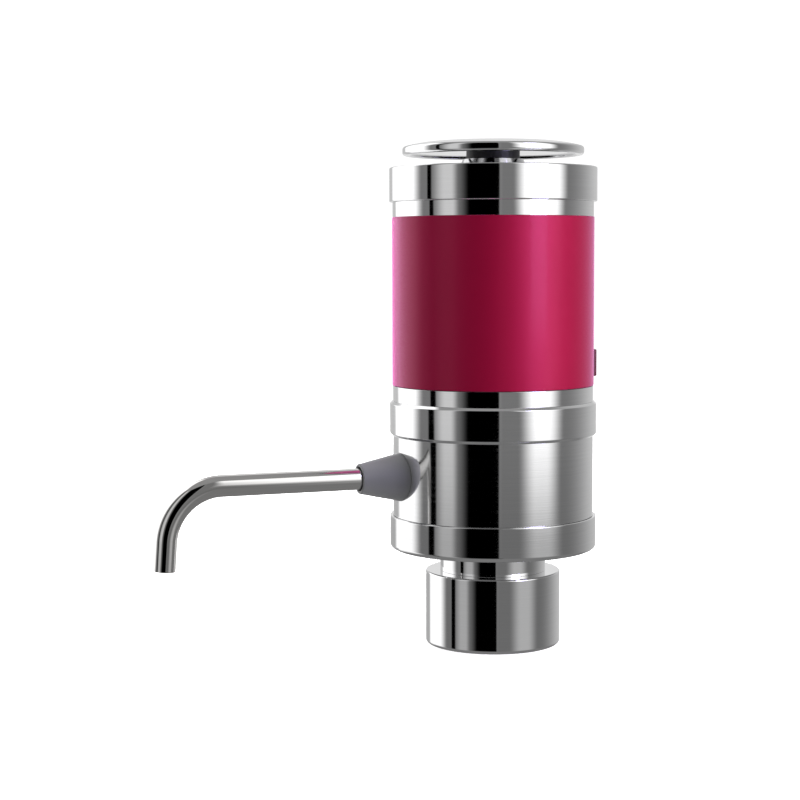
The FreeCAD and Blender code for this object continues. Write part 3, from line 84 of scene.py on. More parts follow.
# Edges of the rings that lie a little lower than on the solids
RING_FOOT_Z = BASE_Z - 0.7
RING_TOP_Z = SHELL_Z - 0.4
TRIM_FOOT_Z = TRIM_Z - 0.3

FIT = 0.05              # radial, between pieces fixed together
COLLAR_WALL = 1.6
COLLAR_WEB = 2.0
NECK_WALL = 1.4
RING_WALL = 1.5
SHELL_WALL = 1.8
SLEEVE_WALL = 1.2
FLOOR_T = 1.8
SPIGOT_L = 4.0
BAND_SPIGOT_L = 3.0
TOP_SPIGOT_L = 2.4
TOP_PLATE_T = 2.0
TOP_WEB_T = 1.2
TOP_WEB_R = 25.1
SCREW_PITCH_R = 21.5
SCREW_HOLE_R = 1.35
COUNTERBORE_R = 2.5
COUNTERBORE_H = 1.2
SCREW_ANGLES = (30, 150, 270)
CUT_CLEAR = 1.0         # how far a cutter reaches past what it cuts
RING_BORE = RING_R - RING_WALL
SHELL_BORE = SHELL_R - SHELL_WALL
SLEEVE_BORE = SLEEVE_R - SLEEVE_WALL
NECK_BORE = NECK_R - NECK_WALL
COLLAR_BORE = COLLAR_R - COLLAR_WALL

WINDOW_HALF = 5.32      # release button's window in the sleeve
WINDOW_Z = (75.33, 83.27)
SOCKET_HOLE_R = 4.65

# Disc of the push button, with heights above the top collar
DISC_SHOULDER = (17.5, 7.05)    # radius, height
DISC_NOSE = (24.8, 5.9)
DISC_RIM_H = 4.2        # lower end of the upright rim
DISC_UNDER_H = 3.95     # flat underside
DISC_FOOT = 0.9         # from that end in to the foot, and down to it
DISC_LIP = 2.0          # from the rim in to the underside
STEM_R = 7.5
STEM_TOP = TOP_Z + DISC_UNDER_H
STEM_SPIGOT_R = 3.0
STEM_FLANGE_T = 1.4

GUIDE_BORE = 7.56
GUIDE_R = 9.96
GUIDE_FLANGE_T = 1.5
GUIDE_EDGE_H = 0.4      # above the top collar, as the next two heights are
GUIDE_SLOPE = (9.1, 0.7)    # radius, height at the foot of the lip's slope
GUIDE_LIP_R = 8.5
GUIDE_LIP_H = 2.3       # short of the disc when it is pressed

TUBE_R = 2.9            # in its socket
TUBE_RUN_R = 3.0        # outside the body
TUBE_BORE = 2.4
TUBE_INNER_END = 14.0   # from the body's axis
TUBE_STEP = SHELL_R + 0.4   # from the axis to where the tube thickens, in the cone
TUBE_END_EDGES = (0.15, 0.12)   # outside, inside
BEND_START = 79.5
BEND_R = 15.5
BEND_DEG = 86.0
TIP_Z = 26.3
CONE_SMALL_R = 4.15
CONE_LIP_SHORT = 0.3    # of the solid's end
CONE_RECESS = (0.4, 1.6)    # gap round the tube, depth
CONE_EDGES = (0.35, 0.2)    # outside, inside

# Roundings of polished edges
FINE_EDGE = 0.07        # where two shells meet
STEP_EDGE = 0.1         # where the raised ring meets its neighbours
SLEEVE_EDGE = 0.14
RING_EDGE = 0.3
TOP_EDGE = 0.4
RING_FOOT_EDGE = 1.3
COLLAR_EDGES = (1.0, 0.5, 0.2)  # rim, shoulder, mouth
FLANGE_EDGE = 0.2
TRIM_CHAMFER = 0.7
SUPPORT = 0.05          # from an arc to the ring that keeps the wall beside it straight

ARC_STEPS = 5
BEND_STEPS = 28
BODY_SEGMENTS = 192
SMALL_SEGMENTS = 96
SHARP_ANGLE = math.radians(32)


# ---------------------------------------------------------------- outlines

def rounded(corners):
    """Closed outline of (radius, height) points from (radius, height, rounding) corners."""
    points = []
    for index, (r, z, rounding) in enumerate(corners):
        here = Vector((r, z))
        if rounding == 0:
            points.append(here)
            continue
        back = Vector(corners[index - 1][:2]) - here
        ahead = Vector(corners[(index + 1) % len(corners)][:2]) - here
        half = back.angle(ahead) / 2
        cut = rounding / math.tan(half)
        to_middle = (back.normalized() + ahead.normalized()).normalized()
        middle = here + to_middle * rounding / math.sin(half)
        first = here + back.normalized() * cut - middle
        last = here + ahead.normalized() * cut - middle
        turn = first.angle_signed(last)
        if back.length > 4 * cut:
            points.append(middle + first + back.normalized() * SUPPORT)
        for step in range(ARC_STEPS + 1):
            arm = first.copy()
            arm.rotate(Matrix.Rotation(-turn * step / ARC_STEPS, 2))
            points.append(middle + arm)
        if ahead.length > 4 * cut:
            points.append(middle + last + ahead.normalized() * SUPPORT)
    return points


def arc(start, heading, end, steps):
    """Points after start on the arc that leaves start at a heading in degrees and ends at end."""
    chord = Vector(end) - Vector(start)
    lean = math.atan2(chord.y, chord.x) - math.radians(heading)
    lean = (lean + math.pi) % math.tau - math.pi
    radius = chord.length / 2 / math.sin(lean)
    side = Vector((-math.sin(math.radians(heading)), math.cos(math.radians(heading))))
    middle = Vector(start) + side * radius
    points = []
    for step in range(1, steps + 1):
        arm = Vector(start) - middle
        arm.rotate(Matrix.Rotation(2 * lean * step / steps, 2))
        points.append(middle + arm)
    return points


def turned_heading(start, heading, end):
    """Heading at the end of the arc that leaves start at a heading in degrees and ends at end."""
    chord = Vector(end) - Vector(start)
    return 2 * math.degrees(math.atan2(chord.y, chord.x)) - heading


def tube_outline(outer, inner, low, high, edge):
    """Outline of a plain tube with rounded outer edges."""
    return rounded([(outer, low, edge), (outer, high, edge), (inner, high, 0), (inner, low, 0)])


# ---------------------------------------------------------------- meshes

def finish_mesh(bm, name):
    """Mesh in metres from a bmesh in millimetres, smooth but for its sharp edges."""
    bmesh.ops.recalc_face_normals(bm, faces=bm.faces)
    bmesh.ops.scale(bm, vec=(MM, MM, MM), verts=bm.verts)
    mesh = bpy.data.meshes.new(name)
    bm.to_mesh(mesh)
    bm.free()
    mesh.shade_smooth()
    mesh.set_sharp_from_angle(angle=SHARP_ANGLE)
    return mesh


def turned(outline, segments=BODY_SEGMENTS):
    """Bmesh of revolution about Z from a closed outline."""
    bm = bmesh.new()
    rings = []
    for r, z in outline:
        if r < 1e-6:
            rings.append([bm.verts.new((0, 0, z))])
            continue
        angles = [math.tau * step / segments for step in range(segments)]
        rings.append([bm.verts.new((r * math.cos(a), r * math.sin(a), z)) for a in angles])
    for one, two in zip(rings, rings[1:] + rings[:1]):
        if len(one) == 1 and len(two) == 1:
            continue
        for step in range(segments):
            corners = []
            for ring, index in ((one, step), (one, step + 1), (two, step + 1), (two, step)):
                corner = ring[index % len(ring)]
                if corner not in corners:
                    corners.append(corner)
            bm.faces.new(corners)
    return bm


def lathe(outline, segments=BODY_SEGMENTS):
    """Mesh of revolution about Z from a closed outline."""
    return finish_mesh(turned(outline, segments), "turned")


def bar(radius, length, matrix):
    """Round cutter from the origin along its own Z, placed by a matrix."""
    bm = bmesh.new()
    bmesh.ops.create_cone(bm, cap_ends=True, segments=SMALL_SEGMENTS, radius1=radius, radius2=radius,
                          depth=length, matrix=matrix @ Matrix.Translation((0, 0, length / 2)))
    return finish_mesh(bm, "bar")


def box_cutter(low, high):
    """Box between its lowest and highest corners."""
    bm = bmesh.new()
    size = Vector(high) - Vector(low)
    middle = (Vector(high) + Vector(low)) / 2
    bmesh.ops.create_cube(bm, size=1, matrix=Matrix.Translation(middle) @ Matrix.Diagonal((*size, 1)))
    return finish_mesh(bm, "box")


def pierce(mesh, cutter, radius):
    """Cuts a hole in a turned mesh, and keeps the shading of its round wall as it was."""
    slack = 0.02            # of the wall's radius, and of its faces from upright
    outward = 0.9           # least cosine between a wall's face and the way out
    body = bpy.data.objects.new("pierced", mesh)
    tool = bpy.data.objects.new("cutter", cutter)
    for thing in (body, tool):
        bpy.context.scene.collection.objects.link(thing)
    hole = body.modifiers.new("hole", "BOOLEAN")
    hole.object = tool
    hole.solver = "EXACT"
    depsgraph = bpy.context.evaluated_depsgraph_get()
    result = bpy.data.meshes.new_from_object(body.evaluated_get(depsgraph))
    for thing in (body, tool):
        bpy.data.objects.remove(thing)
    result.shade_smooth()
    result.set_sharp_from_angle(angle=SHARP_ANGLE)
    normals = [corner.vector.copy() for corner in result.corner_normals]
    for face in result.polygons:
        if abs(face.normal.z) > slack:
            continue
        for index in face.loop_indices:
            place = result.vertices[result.loops[index].vertex_index].co
            out = Vector((place.x, place.y, 0))
            if abs(out.length / MM - radius) < slack and face.normal.dot(out.normalized()) > outward:
                normals[index] = out.normalized()
    result.normals_split_custom_set(normals)
    return result


def new_piece(name, mesh, material, body, slot, *nodes):
    """An object that rides on a body and stands for CAD nodes."""
    piece = bpy.data.objects.new(name, mesh)
    bpy.context.scene.collection.objects.link(piece)
    mesh.materials.clear()
    mesh.materials.append(material)
    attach(piece, body)
    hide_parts(*nodes)
    return piece


# ---------------------------------------------------------------- materials

class Nodes:
    """Short way to add and join shader nodes."""

    def __init__(self, name):
        self.material = bpy.data.materials.new(name)
        self.material.use_nodes = True
        self.tree = self.material.node_tree
        self.shader = self.tree.nodes["Principled BSDF"]

    def add(self, kind, links=(), **values):
        """A node with its properties set and its sockets joined."""
        node = self.tree.nodes.new("ShaderNode" + kind)
        for key, value in values.items():
            setattr(node, key, value)
        for socket, source in links:
            self.join(source, node.inputs[socket])
        return node

    def join(self, source, target):
        """Puts a number or a tuple into a socket, or links an output to it."""
        if isinstance(source, (int, float, tuple)):
            target.default_value = source
        else:
            self.tree.links.new(source, target)

    def math(self, operation, one, two=0.0):
        return self.add("Math", [(0, one), (1, two)], operation=operation).outputs["Value"]

    def place(self, scale=(1, 1, 1), turn=0.0):
        """Object coordinates, turned about Z and scaled."""
        where = self.add("TexCoord").outputs["Object"]
        links = [("Vector", where), ("Rotation", (0, 0, turn)), ("Scale", scale)]
        return self.add("Mapping", links).outputs["Vector"]

    def noise(self, scale, detail=2.0):
        """Noise with so many waves to the metre along each axis."""
        links = [("Vector", self.place(scale)), ("Scale", 1.0), ("Detail", detail)]
        return self.add("TexNoise", links).outputs["Fac"]

    def spread(self, value, low, high, start=0.3, end=0.7, shape="LINEAR"):
        """A value mapped from start and end to low and high. The middle of a noise by default."""
        links = [("Value", value), ("From Min", start), ("From Max", end),
                 ("To Min", low), ("To Max", high)]
        return self.add("MapRange", links, interpolation_type=shape).outputs["Result"]

    def blend(self, factor, one, two):
        return self.add("Mix", [(0, factor), (2, one), (3, two)], data_type="FLOAT").outputs[0]

    def blend_colour(self, factor, one, two):
        links = [(0, factor), (6, (*one, 1)), (7, (*two, 1))]
        return self.add("Mix", links, data_type="RGBA").outputs[2]

    def bump(self, height, strength, distance):
        """Fine relief, whose distance is in millimetres."""
        links = [("Height", height), ("Strength", strength), ("Distance", distance * MM)]
        self.join(self.add("Bump", links).outputs["Normal"], self.shader.inputs["Normal"])

    def set(self, **values):
        """Sets the shader's sockets by name, to a number, a colour or a node's output."""
        for key, value in values.items():
            self.join(value, self.shader.inputs[key.replace("_", " ")])


def darker(colour, share):
    """A share of a colour."""
    return tuple(c * share for c in colour)


def turned_metal(name, colour, rough_low, rough_high, line_depth):
    """Bright metal with fine lines round the body and a faint unevenness."""
    m = Nodes(name)
    lines = m.noise((60, 60, 3200), detail=3)
    clouds = m.noise((45, 45, 45))
    roughness = m.math("ADD", m.spread(lines, rough_low, rough_high), m.spread(clouds, 0, 0.02))
    m.set(Base_Color=m.blend_colour(m.spread(lines, 0, 1), darker(colour, 0.96), colour),
          Metallic=1.0, Roughness=roughness)
    m.bump(lines, line_depth, 0.02)
    return m.material


def anodised(name):
    """Crimson anodised aluminium: satin colour under a clear, glossier skin, magenta at a slant."""
    dark, light = (0.325, 0.0016, 0.025), (0.355, 0.0020, 0.030)
    m = Nodes(name)
    grain = m.noise((900, 900, 2600), detail=3)
    clouds = m.noise((30, 30, 30))
    m.set(Base_Color=m.blend_colour(m.spread(clouds, 0, 1), dark, light),
          Metallic=0.35, Roughness=m.spread(grain, 0.40, 0.48),
          Specular_IOR_Level=0.6, Specular_Tint=(1.0, 0.35, 1.0, 1.0),
          Coat_Weight=1.0, Coat_Roughness=0.14, Coat_IOR=1.17,
          Sheen_Weight=0.75, Sheen_Roughness=0.35, Sheen_Tint=(1.0, 0.15, 0.65, 1.0))
    m.bump(grain, 0.05, 0.02)
    return m.material


def plastic(name, colour, rough_low, rough_high, grain_size=2500, strength=0.12, **more):
    """Moulded plastic or rubber with a fine spark-eroded grain."""
    m = Nodes(name)
    grain = m.noise((grain_size,) * 3, detail=3)
    clouds = m.noise((60, 60, 60))
    m.set(Base_Color=m.blend_colour(m.spread(clouds, 0, 1), darker(colour, 0.88), colour),
          Roughness=m.spread(grain, rough_low, rough_high), **more)
    m.bump(grain, strength, 0.05)
    return m.material


def metal(name, colour, rough_low, rough_high):
    """Plain inner metal with a rolled or drawn grain."""
    m = Nodes(name)
    grain = m.noise((700, 700, 700), detail=3)
    m.set(Base_Color=m.blend_colour(m.spread(grain, 0, 1), darker(colour, 0.85), colour),
          Metallic=1.0, Roughness=m.spread(grain, rough_low, rough_high))
    m.bump(grain, 0.1, 0.03)
    return m.material


def drawn_tube(name):
    """Polished steel tube with faint drawing lines along it."""
    m = Nodes(name)
    lines = m.noise((2600, 40, 2600))
    m.set(Base_Color=m.blend_colour(m.spread(lines, 0, 1), (0.79, 0.78, 0.765), (0.82, 0.81, 0.80)),
          Metallic=1.0, Roughness=m.spread(lines, 0.03, 0.06))
    m.bump(lines, 0.05, 0.02)
    return m.material


def cell_wrapper(name):
    """Battery cell: a plain grey wrapper with bare steel ends."""
    m = Nodes(name)
    bare_end, softness = 1.5 * MM, 0.1 * MM
    low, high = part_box("battery_cells")
    height = m.add("SeparateXYZ", [("Vector", m.place())]).outputs["Z"]
    from_middle = m.math("ABSOLUTE", m.math("SUBTRACT", height, (low.z + high.z) / 2))
    wrapped = (high.z - low.z) / 2 - bare_end
    bare = m.spread(from_middle, 0, 1, wrapped - softness, wrapped)
    m.set(Base_Color=m.blend_colour(bare, (0.16, 0.17, 0.19), (0.62, 0.62, 0.62)),
          Metallic=bare, Roughness=m.spread(m.noise((400, 400, 400)), 0.25, 0.4))
    return m.material


CHROME = turned_metal("chrome_polished", (0.88, 0.88, 0.885), 0.02, 0.05, 0.03)
BRUSHED = turned_metal("chrome_brushed", (0.86, 0.86, 0.865), 0.02, 0.08, 0.16)
CRIMSON = anodised("crimson_anodised")
# Painted shade: the release button's crimson is made much darker than the sleeve's, to stand for the
# shade it sits in at the body's edge.
SHADE_DARKENED_KEY_RED = plastic("crimson_plastic", (0.085, 0.002, 0.018), 0.30, 0.42)
TUBE = drawn_tube("spout_steel")
RUBBER = plastic("grey_rubber", (0.172, 0.172, 0.178), 0.42, 0.55, 1800, 0.2, Sheen_Weight=0.6,
                 Sheen_Roughness=0.3)
SILICONE = plastic("clear_silicone", (0.72, 0.73, 0.72), 0.35, 0.5, Transmission_Weight=0.4)
BLACK_RUBBER = plastic("black_rubber", (0.028, 0.028, 0.028), 0.5, 0.7)
WHITE_PLASTIC = plastic("white_plastic", (0.78, 0.77, 0.74), 0.35, 0.5)
BLACK_PLASTIC = plastic("black_plastic", (0.030, 0.030, 0.032), 0.38, 0.55)
SWITCH_RED = plastic("switch_red", (0.50, 0.02, 0.02), 0.3, 0.4)
STEEL = metal("zinc_steel", (0.62, 0.62, 0.63), 0.22, 0.4)
MAGNET = metal("sintered_magnet", (0.11, 0.11, 0.12), 0.45, 0.6)
CONTACT = metal("contact_plate", (0.80, 0.74, 0.58), 0.18, 0.3)
WIRE = plastic("red_wire", (0.50, 0.02, 0.02), 0.35, 0.5)
BOARD = plastic("green_board", (0.02, 0.17, 0.07), 0.3, 0.4)
CELLS = cell_wrapper("cell_wrapper")

BY_SLOT = {"chrome": CHROME, "crimson_anodised": CRIMSON, "crimson_plastic": SHADE_DARKENED_KEY_RED, "steel_tube": TUBE,
           "grey_rubber": RUBBER, "clear_silicone": SILICONE, "black_rubber": BLACK_RUBBER,
           "white_plastic": WHITE_PLASTIC, "black_plastic": BLACK_PLASTIC, "switch_red": SWITCH_RED,
           "steel": STEEL, "magnet": MAGNET, "contact_metal": CONTACT, "wire_red": WIRE,
           "board_green": BOARD, "cell_label": CELLS}


def dress_cad_nodes():
    """Gives every CAD node the material of its slot."""
    for part in frame["record"]["subparts"]:
        mesh = frame["nodes"][part["node"]].data
        mesh.materials.clear()
        mesh.materials.append(BY_SLOT[part["material_slot"]])


# ---------------------------------------------------------------- bottle end

def bottle_collar():
    """Cup over the bottle's finish."""
    rim, shoulder, mouth = COLLAR_EDGES
    web_z = NECK_Z - COLLAR_WEB
    outline = rounded([(COLLAR_R, RIM_Z, rim), (COLLAR_R, NECK_Z, shoulder), (NECK_BORE, NECK_Z, 0),
                       (NECK_BORE, web_z, 0), (COLLAR_BORE, web_z, 0), (COLLAR_BORE, RIM_Z, mouth)])
    return new_piece("bottle_collar_shell", lathe(outline), CHROME, "base", "chrome", "bottle_collar")


def neck_sleeve():
    """Narrow neck between the collar and the body."""
    outline = tube_outline(NECK_R, NECK_BORE, NECK_Z, RING_FOOT_Z, FINE_EDGE)
    return new_piece("neck_sleeve_shell", lathe(outline), CHROME, "base", "chrome", "neck_sleeve")


# ---------------------------------------------------------------- body shells

def base_ring():
    """Bottom ring and its floor, with the counterbored screw holes."""
    floor_z = BASE_Z + FLOOR_T
    outline = rounded([(RING_R, RING_FOOT_Z, RING_FOOT_EDGE), (RING_R, RING_TOP_Z, RING_EDGE),
                       (RING_BORE, RING_TOP_Z, 0), (RING_BORE, floor_z, 0),
                       (NECK_BORE, floor_z, 0), (NECK_BORE, RING_FOOT_Z, 0)])
    mesh = lathe(outline)
    start_z = RING_FOOT_Z - CUT_CLEAR
    for degrees in SCREW_ANGLES:
        a = math.radians(degrees)
        screw = Matrix.Translation((SCREW_PITCH_R * math.cos(a), SCREW_PITCH_R * math.sin(a), start_z))
        mesh = pierce(mesh, bar(COUNTERBORE_R, BASE_Z + COUNTERBORE_H - start_z, screw), RING_R)
        mesh = pierce(mesh, bar(SCREW_HOLE_R, floor_z + CUT_CLEAR - start_z, screw), RING_R)
    return new_piece("base_ring_shell", mesh, BRUSHED, "base", "chrome", "base_ring")


def lower_shell():
    """Body tube with a spigot at each end and the hole for the spout's socket."""
    spigot_r = RING_BORE - FIT
    outline = rounded([(SHELL_R, RING_TOP_Z, FINE_EDGE), (SHELL_R, TRIM_FOOT_Z, FINE_EDGE),
                       (spigot_r, TRIM_FOOT_Z, 0), (spigot_r, TRIM_Z + SPIGOT_L, 0),
                       (SHELL_BORE, TRIM_Z + SPIGOT_L, 0), (SHELL_BORE, SHELL_Z - SPIGOT_L, 0),
                       (spigot_r, SHELL_Z - SPIGOT_L, 0), (spigot_r, RING_TOP_Z, 0)])
    along_spout = Matrix.Translation((0, 0, SPOUT_Z)) @ Matrix.Rotation(math.radians(90), 4, "X")
    mesh = pierce(lathe(outline), bar(SOCKET_HOLE_R, 2 * SHELL_R, along_spout), SHELL_R)
    return new_piece("lower_body_shell", mesh, BRUSHED, "base", "chrome", "lower_shell")


def trim_ring():
    """Raised ring, chamfered at both edges."""
    inner_r = RING_R - TRIM_CHAMFER
    wall_low, wall_high = TRIM_FOOT_Z + TRIM_CHAMFER, LOWER_BAND_Z - TRIM_CHAMFER
    outline = rounded([(inner_r, TRIM_FOOT_Z, STEP_EDGE), (RING_R, wall_low, RING_EDGE),
                       (RING_R, wall_high, RING_EDGE), (inner_r, LOWER_BAND_Z, STEP_EDGE),
                       (RING_BORE, LOWER_BAND_Z, 0), (RING_BORE, TRIM_FOOT_Z, 0)])
    return new_piece("trim_ring_shell", lathe(outline), BRUSHED, "base", "chrome", "trim_ring")


def lower_band():
    """Narrow band under the sleeve, with a spigot in the raised ring."""
    spigot_r = RING_BORE - FIT
    spigot_z = LOWER_BAND_Z - SPIGOT_L
    outline = rounded([(SHELL_R, LOWER_BAND_Z, FINE_EDGE), (SHELL_R, SPLIT_Z, FINE_EDGE),
                       (SHELL_BORE, SPLIT_Z, 0), (SHELL_BORE, spigot_z, 0),
                       (spigot_r, spigot_z, 0), (spigot_r, LOWER_BAND_Z, 0)])
    return new_piece("lower_band_shell", lathe(outline), CHROME, "base", "chrome", "lower_band")


# ---------------------------------------------------------------- battery cover

def color_sleeve():
    """Tube with the release button's window."""
    low, high = WINDOW_Z
    outline = tube_outline(SLEEVE_R, SLEEVE_BORE, SLEEVE_Z, TOP_BAND_Z, SLEEVE_EDGE)
    window = box_cutter((-WINDOW_HALF, 0, low), (WINDOW_HALF, SLEEVE_R + CUT_CLEAR, high))
    mesh = pierce(lathe(outline), window, SLEEVE_R)
    return new_piece("color_sleeve_shell", mesh, CRIMSON, "battery_cover", "crimson_anodised",
                     "color_sleeve")


def top_band():
    """Narrow band over the sleeve, with a spigot in it."""
    spigot_r = SLEEVE_BORE - FIT
    spigot_z = TOP_BAND_Z - BAND_SPIGOT_L
    outline = rounded([(SHELL_R, TOP_BAND_Z, FINE_EDGE), (SHELL_R, TOP_COLLAR_Z, FINE_EDGE),
                       (SHELL_BORE, TOP_COLLAR_Z, 0), (SHELL_BORE, spigot_z, 0),
                       (spigot_r, spigot_z, 0), (spigot_r, TOP_BAND_Z, 0)])
    return new_piece("top_band_shell", lathe(outline), CHROME, "battery_cover", "chrome", "top_band")


def top_collar():
    """Top ring with its plate, in which the button's guide sits."""
    hole_r = GUIDE_R + FIT
    spigot_r = SHELL_BORE - FIT
    plate_under = TOP_Z - TOP_PLATE_T
    web_top = TOP_COLLAR_Z + TOP_WEB_T
    spigot_z = TOP_COLLAR_Z - TOP_SPIGOT_L
    outline = rounded([(RING_R, TOP_COLLAR_Z, RING_EDGE), (RING_R, TOP_Z, TOP_EDGE),
                       (hole_r, TOP_Z, FINE_EDGE), (hole_r, plate_under, 0),
                       (RING_BORE, plate_under, 0), (RING_BORE, web_top, 0),
                       (TOP_WEB_R, web_top, 0), (TOP_WEB_R, spigot_z, 0),
                       (spigot_r, spigot_z, 0), (spigot_r, TOP_COLLAR_Z, 0)])
    return new_piece("top_collar_shell", lathe(outline), CHROME, "battery_cover", "chrome", "top_collar")


def button_guide():
    """Flanged bush for the stem, with a tapered lip above the plate."""
    slope_r, slope_h = GUIDE_SLOPE
    plate_under = TOP_Z - TOP_PLATE_T
    flange_under = plate_under - GUIDE_FLANGE_T
    lip_z = TOP_Z + GUIDE_LIP_H
    outline = rounded([(GUIDE_BORE, GUIDE_Z, 0), (GUIDE_R, GUIDE_Z, 0), (GUIDE_R, flange_under, 0),
                       (GUIDE_FLANGE_R, flange_under, 0), (GUIDE_FLANGE_R, plate_under, 0),
                       (GUIDE_R, plate_under, 0), (GUIDE_R, TOP_Z + GUIDE_EDGE_H, 0),
                       (slope_r, TOP_Z + slope_h, 0), (GUIDE_LIP_R, lip_z, STEP_EDGE),
                       (GUIDE_BORE, lip_z, 0)])
    mesh = lathe(outline, SMALL_SEGMENTS)
    return new_piece("button_guide_ring", mesh, CHROME, "battery_cover", "chrome", "button_guide")


# ---------------------------------------------------------------- push button

def button_cap():
    """Lens-shaped disc: domed top, tight nose, upright rim, round foot and a flat underside."""
    over = Vector((0, TOP_Z))
    start = Vector((0, BUTTON_TOP))
    shoulder = over + Vector(DISC_SHOULDER)
    nose = over + Vector(DISC_NOSE)
    rim = over + Vector((BUTTON_R, DISC_RIM_H))
    foot = rim - Vector((DISC_FOOT, DISC_FOOT))
    under = over + Vector((0, DISC_UNDER_H))
    outline = [start] + arc(start, 0, shoulder, steps=20)
    heading = turned_heading(start, 0, shoulder)
    outline += arc(shoulder, heading, nose, steps=12)
    heading = turned_heading(shoulder, heading, nose)
    drop = (rim.x - nose.x) * math.tan(math.radians(heading - 90) / 2)
    rim_top = Vector((rim.x, nose.y + drop))
    outline += arc(nose, heading, rim_top, steps=8)
    outline += [rim_top - Vector((0, SUPPORT)), rim + Vector((0, SUPPORT)), rim]
    outline += arc(rim, -90, foot, steps=8)
    outline += arc(foot, 180, under + Vector((BUTTON_R - DISC_LIP, 0)), steps=6) + [under]
    return new_piece("button_disc", lathe(outline), CHROME, "push_button", "chrome", "button_cap")


def button_stem():
    """Post with a stop flange at its foot and a spigot in the disc."""
    flange_top = STEM_Z + STEM_FLANGE_T
    outline = rounded([(0, STEM_Z, 0), (STEM_FLANGE_R, STEM_Z, FLANGE_EDGE),
                       (STEM_FLANGE_R, flange_top, FLANGE_EDGE), (STEM_R, flange_top, 0),
                       (STEM_R, STEM_TOP, 0), (STEM_SPIGOT_R, STEM_TOP, 0),
                       (STEM_SPIGOT_R, STEM_SPIGOT_TOP, 0), (0, STEM_SPIGOT_TOP, 0)])
    mesh = lathe(outline, SMALL_SEGMENTS)
    return new_piece("button_stem_post", mesh, BLACK_PLASTIC, "push_button", "black_plastic",
                     "button_stem")


# ---------------------------------------------------------------- spout

def spout_tube():
    """Straight tube turned with rings at the bend's stations, then laid along the spout's line."""
    turn = math.radians(BEND_DEG)
    run = BEND_START - TUBE_INNER_END
    bend_end = run + BEND_R * turn
    drop = SPOUT_Z - BEND_R * (1 - math.cos(turn)) - TIP_Z
    length = bend_end + drop / math.sin(turn)
    stations = [run + BEND_R * turn * step / BEND_STEPS for step in range(BEND_STEPS + 1)]
    thicker = TUBE_STEP - TUBE_INNER_END
    outer_edge, inner_edge = TUBE_END_EDGES
    outline = rounded([(TUBE_R, 0, STEP_EDGE), (TUBE_R, thicker, 0), (TUBE_RUN_R, thicker, 0)]
                      + [(TUBE_RUN_R, s, 0) for s in stations]
                      + [(TUBE_RUN_R, length, outer_edge), (TUBE_BORE, length, inner_edge)]
                      + [(TUBE_BORE, s, 0) for s in reversed(stations)] + [(TUBE_BORE, 0, 0)])
    bm = turned(outline, SMALL_SEGMENTS)
    for vert in bm.verts:
        across, off, s = vert.co
        t = min(max((s - run) / BEND_R, 0), turn)
        along = Vector((0, -math.cos(t), -math.sin(t)))
        out = Vector((0, -math.sin(t), math.cos(t)))
        centre = Vector((0, -BEND_START, SPOUT_Z - BEND_R)) + BEND_R * out
        rest = s - run if s < run else max(s - bend_end, 0)
        vert.co = centre + along * rest + out * off + Vector((across, 0, 0))
    return new_piece("spout_pipe", finish_mesh(bm, "spout"), TUBE, "spout", "steel_tube", "spout_tube")


def spout_cone():
    """Soft cone whose foot follows the round body, with a recess round the tube in its lip."""
    foot_r = SHELL_R + FIT
    lip_end = CONE_REACH - CONE_LIP_SHORT
    gap, depth = CONE_RECESS
    outer_edge, inner_edge = CONE_EDGES
    bore = TUBE_RUN_R + FIT
    recess_r = TUBE_RUN_R + gap
    recess_end = lip_end - depth
    outline = rounded([(CONE_R, SHELL_R, 0), (CONE_SMALL_R, lip_end, outer_edge),
                       (recess_r, lip_end, inner_edge), (recess_r, recess_end, 0),
                       (bore, recess_end, 0), (bore, SHELL_R, 0)])
    bm = turned(outline, SMALL_SEGMENTS)
    for vert in bm.verts:
        across, up, away = vert.co
        if away < SHELL_R + SUPPORT:
            away = math.sqrt(foot_r ** 2 - across ** 2)
        vert.co = (across, -away, SPOUT_Z + up)
    mesh = finish_mesh(bm, "cone")
    return new_piece("spout_cone_boot", mesh, RUBBER, "spout", "grey_rubber", "spout_cone")


# ---------------------------------------------------------------- studio

CAMERA_PLACE = Vector((465, -207, 110))
CAMERA_SENSOR = 36.0
CAMERA_LENS = 81.0
CAMERA_PAN = 2.96       # degrees between the picture's centre and the body's axis
CAMERA_TILT = 4.59      # degrees below level
CAMERA_ROLL = -0.17     # degrees, which leans the body's top to the left

TENT_R = 400
TENT_LOW = -450
TENT_WALL_TOP = 620
TENT_TOP = 860
DOME_STEPS = 12

# Light panels round the tent, in degrees from the camera's direction and to the picture's right:
# from, softness there, to, softness there. The first four hold below EDGES_Z and the next four
# above it. Then the brightness below BRIGHTNESS_Z and above it. A later panel covers an earlier one.
EDGES_Z = (28, 140)
BRIGHTNESS_Z = (-28, 28)
TENT_GREY = (0.16, 0.19)    # where there is no panel
PANELS = (
    ((-220, 1, -133, 4), (-220, 1, -142, 4), 0.44, 0.58),           # left, behind
    ((-134, 4, -91.3, 9.2), (-143, 4, -90, 8.7), 1.20, 1.35),       # left softbox
    ((-70, 1, 7.0, 1.0), (-70, 1, 7.0, 1.0), 0.0, 0.0),             # flag round the camera
    ((7.0, 1.0, 9.5, 1.5), (7.0, 1.0, 9.5, 1.5), 0.17, 0.22),       # its grey right edge
    ((-70, 1, -32.5, 7), (-70, 1, -32, 7), 0.14, 0.17),             # its grey left part
    ((-61, 8, -41.5, 4.5), (-61, 9.5, -40.5, 4.5), 0.42, 0.64),     # left fill
    ((-72.7, 1, -65, 1.3), (-73.8, 0.8, -68.4, 1.2), 0.0, 0.0),     # narrow flag
    ((38, 11, 71.5, 11), (28.5, 8, 79.5, 8.5), 0.46, 1.30),         # right softbox
    ((118, 34, 220, 1), (118, 34, 220, 1), 0.52, 0.58),             # right, behind
    ((160, 6, 220, 1), (160, 6, 220, 1), 0.78, 0.78),               # straight behind, right half
    ((-220, 1, -160, 6), (-220, 1, -160, 6), 0.78, 0.78),           # straight behind, left half
)
CEILING = 0.30
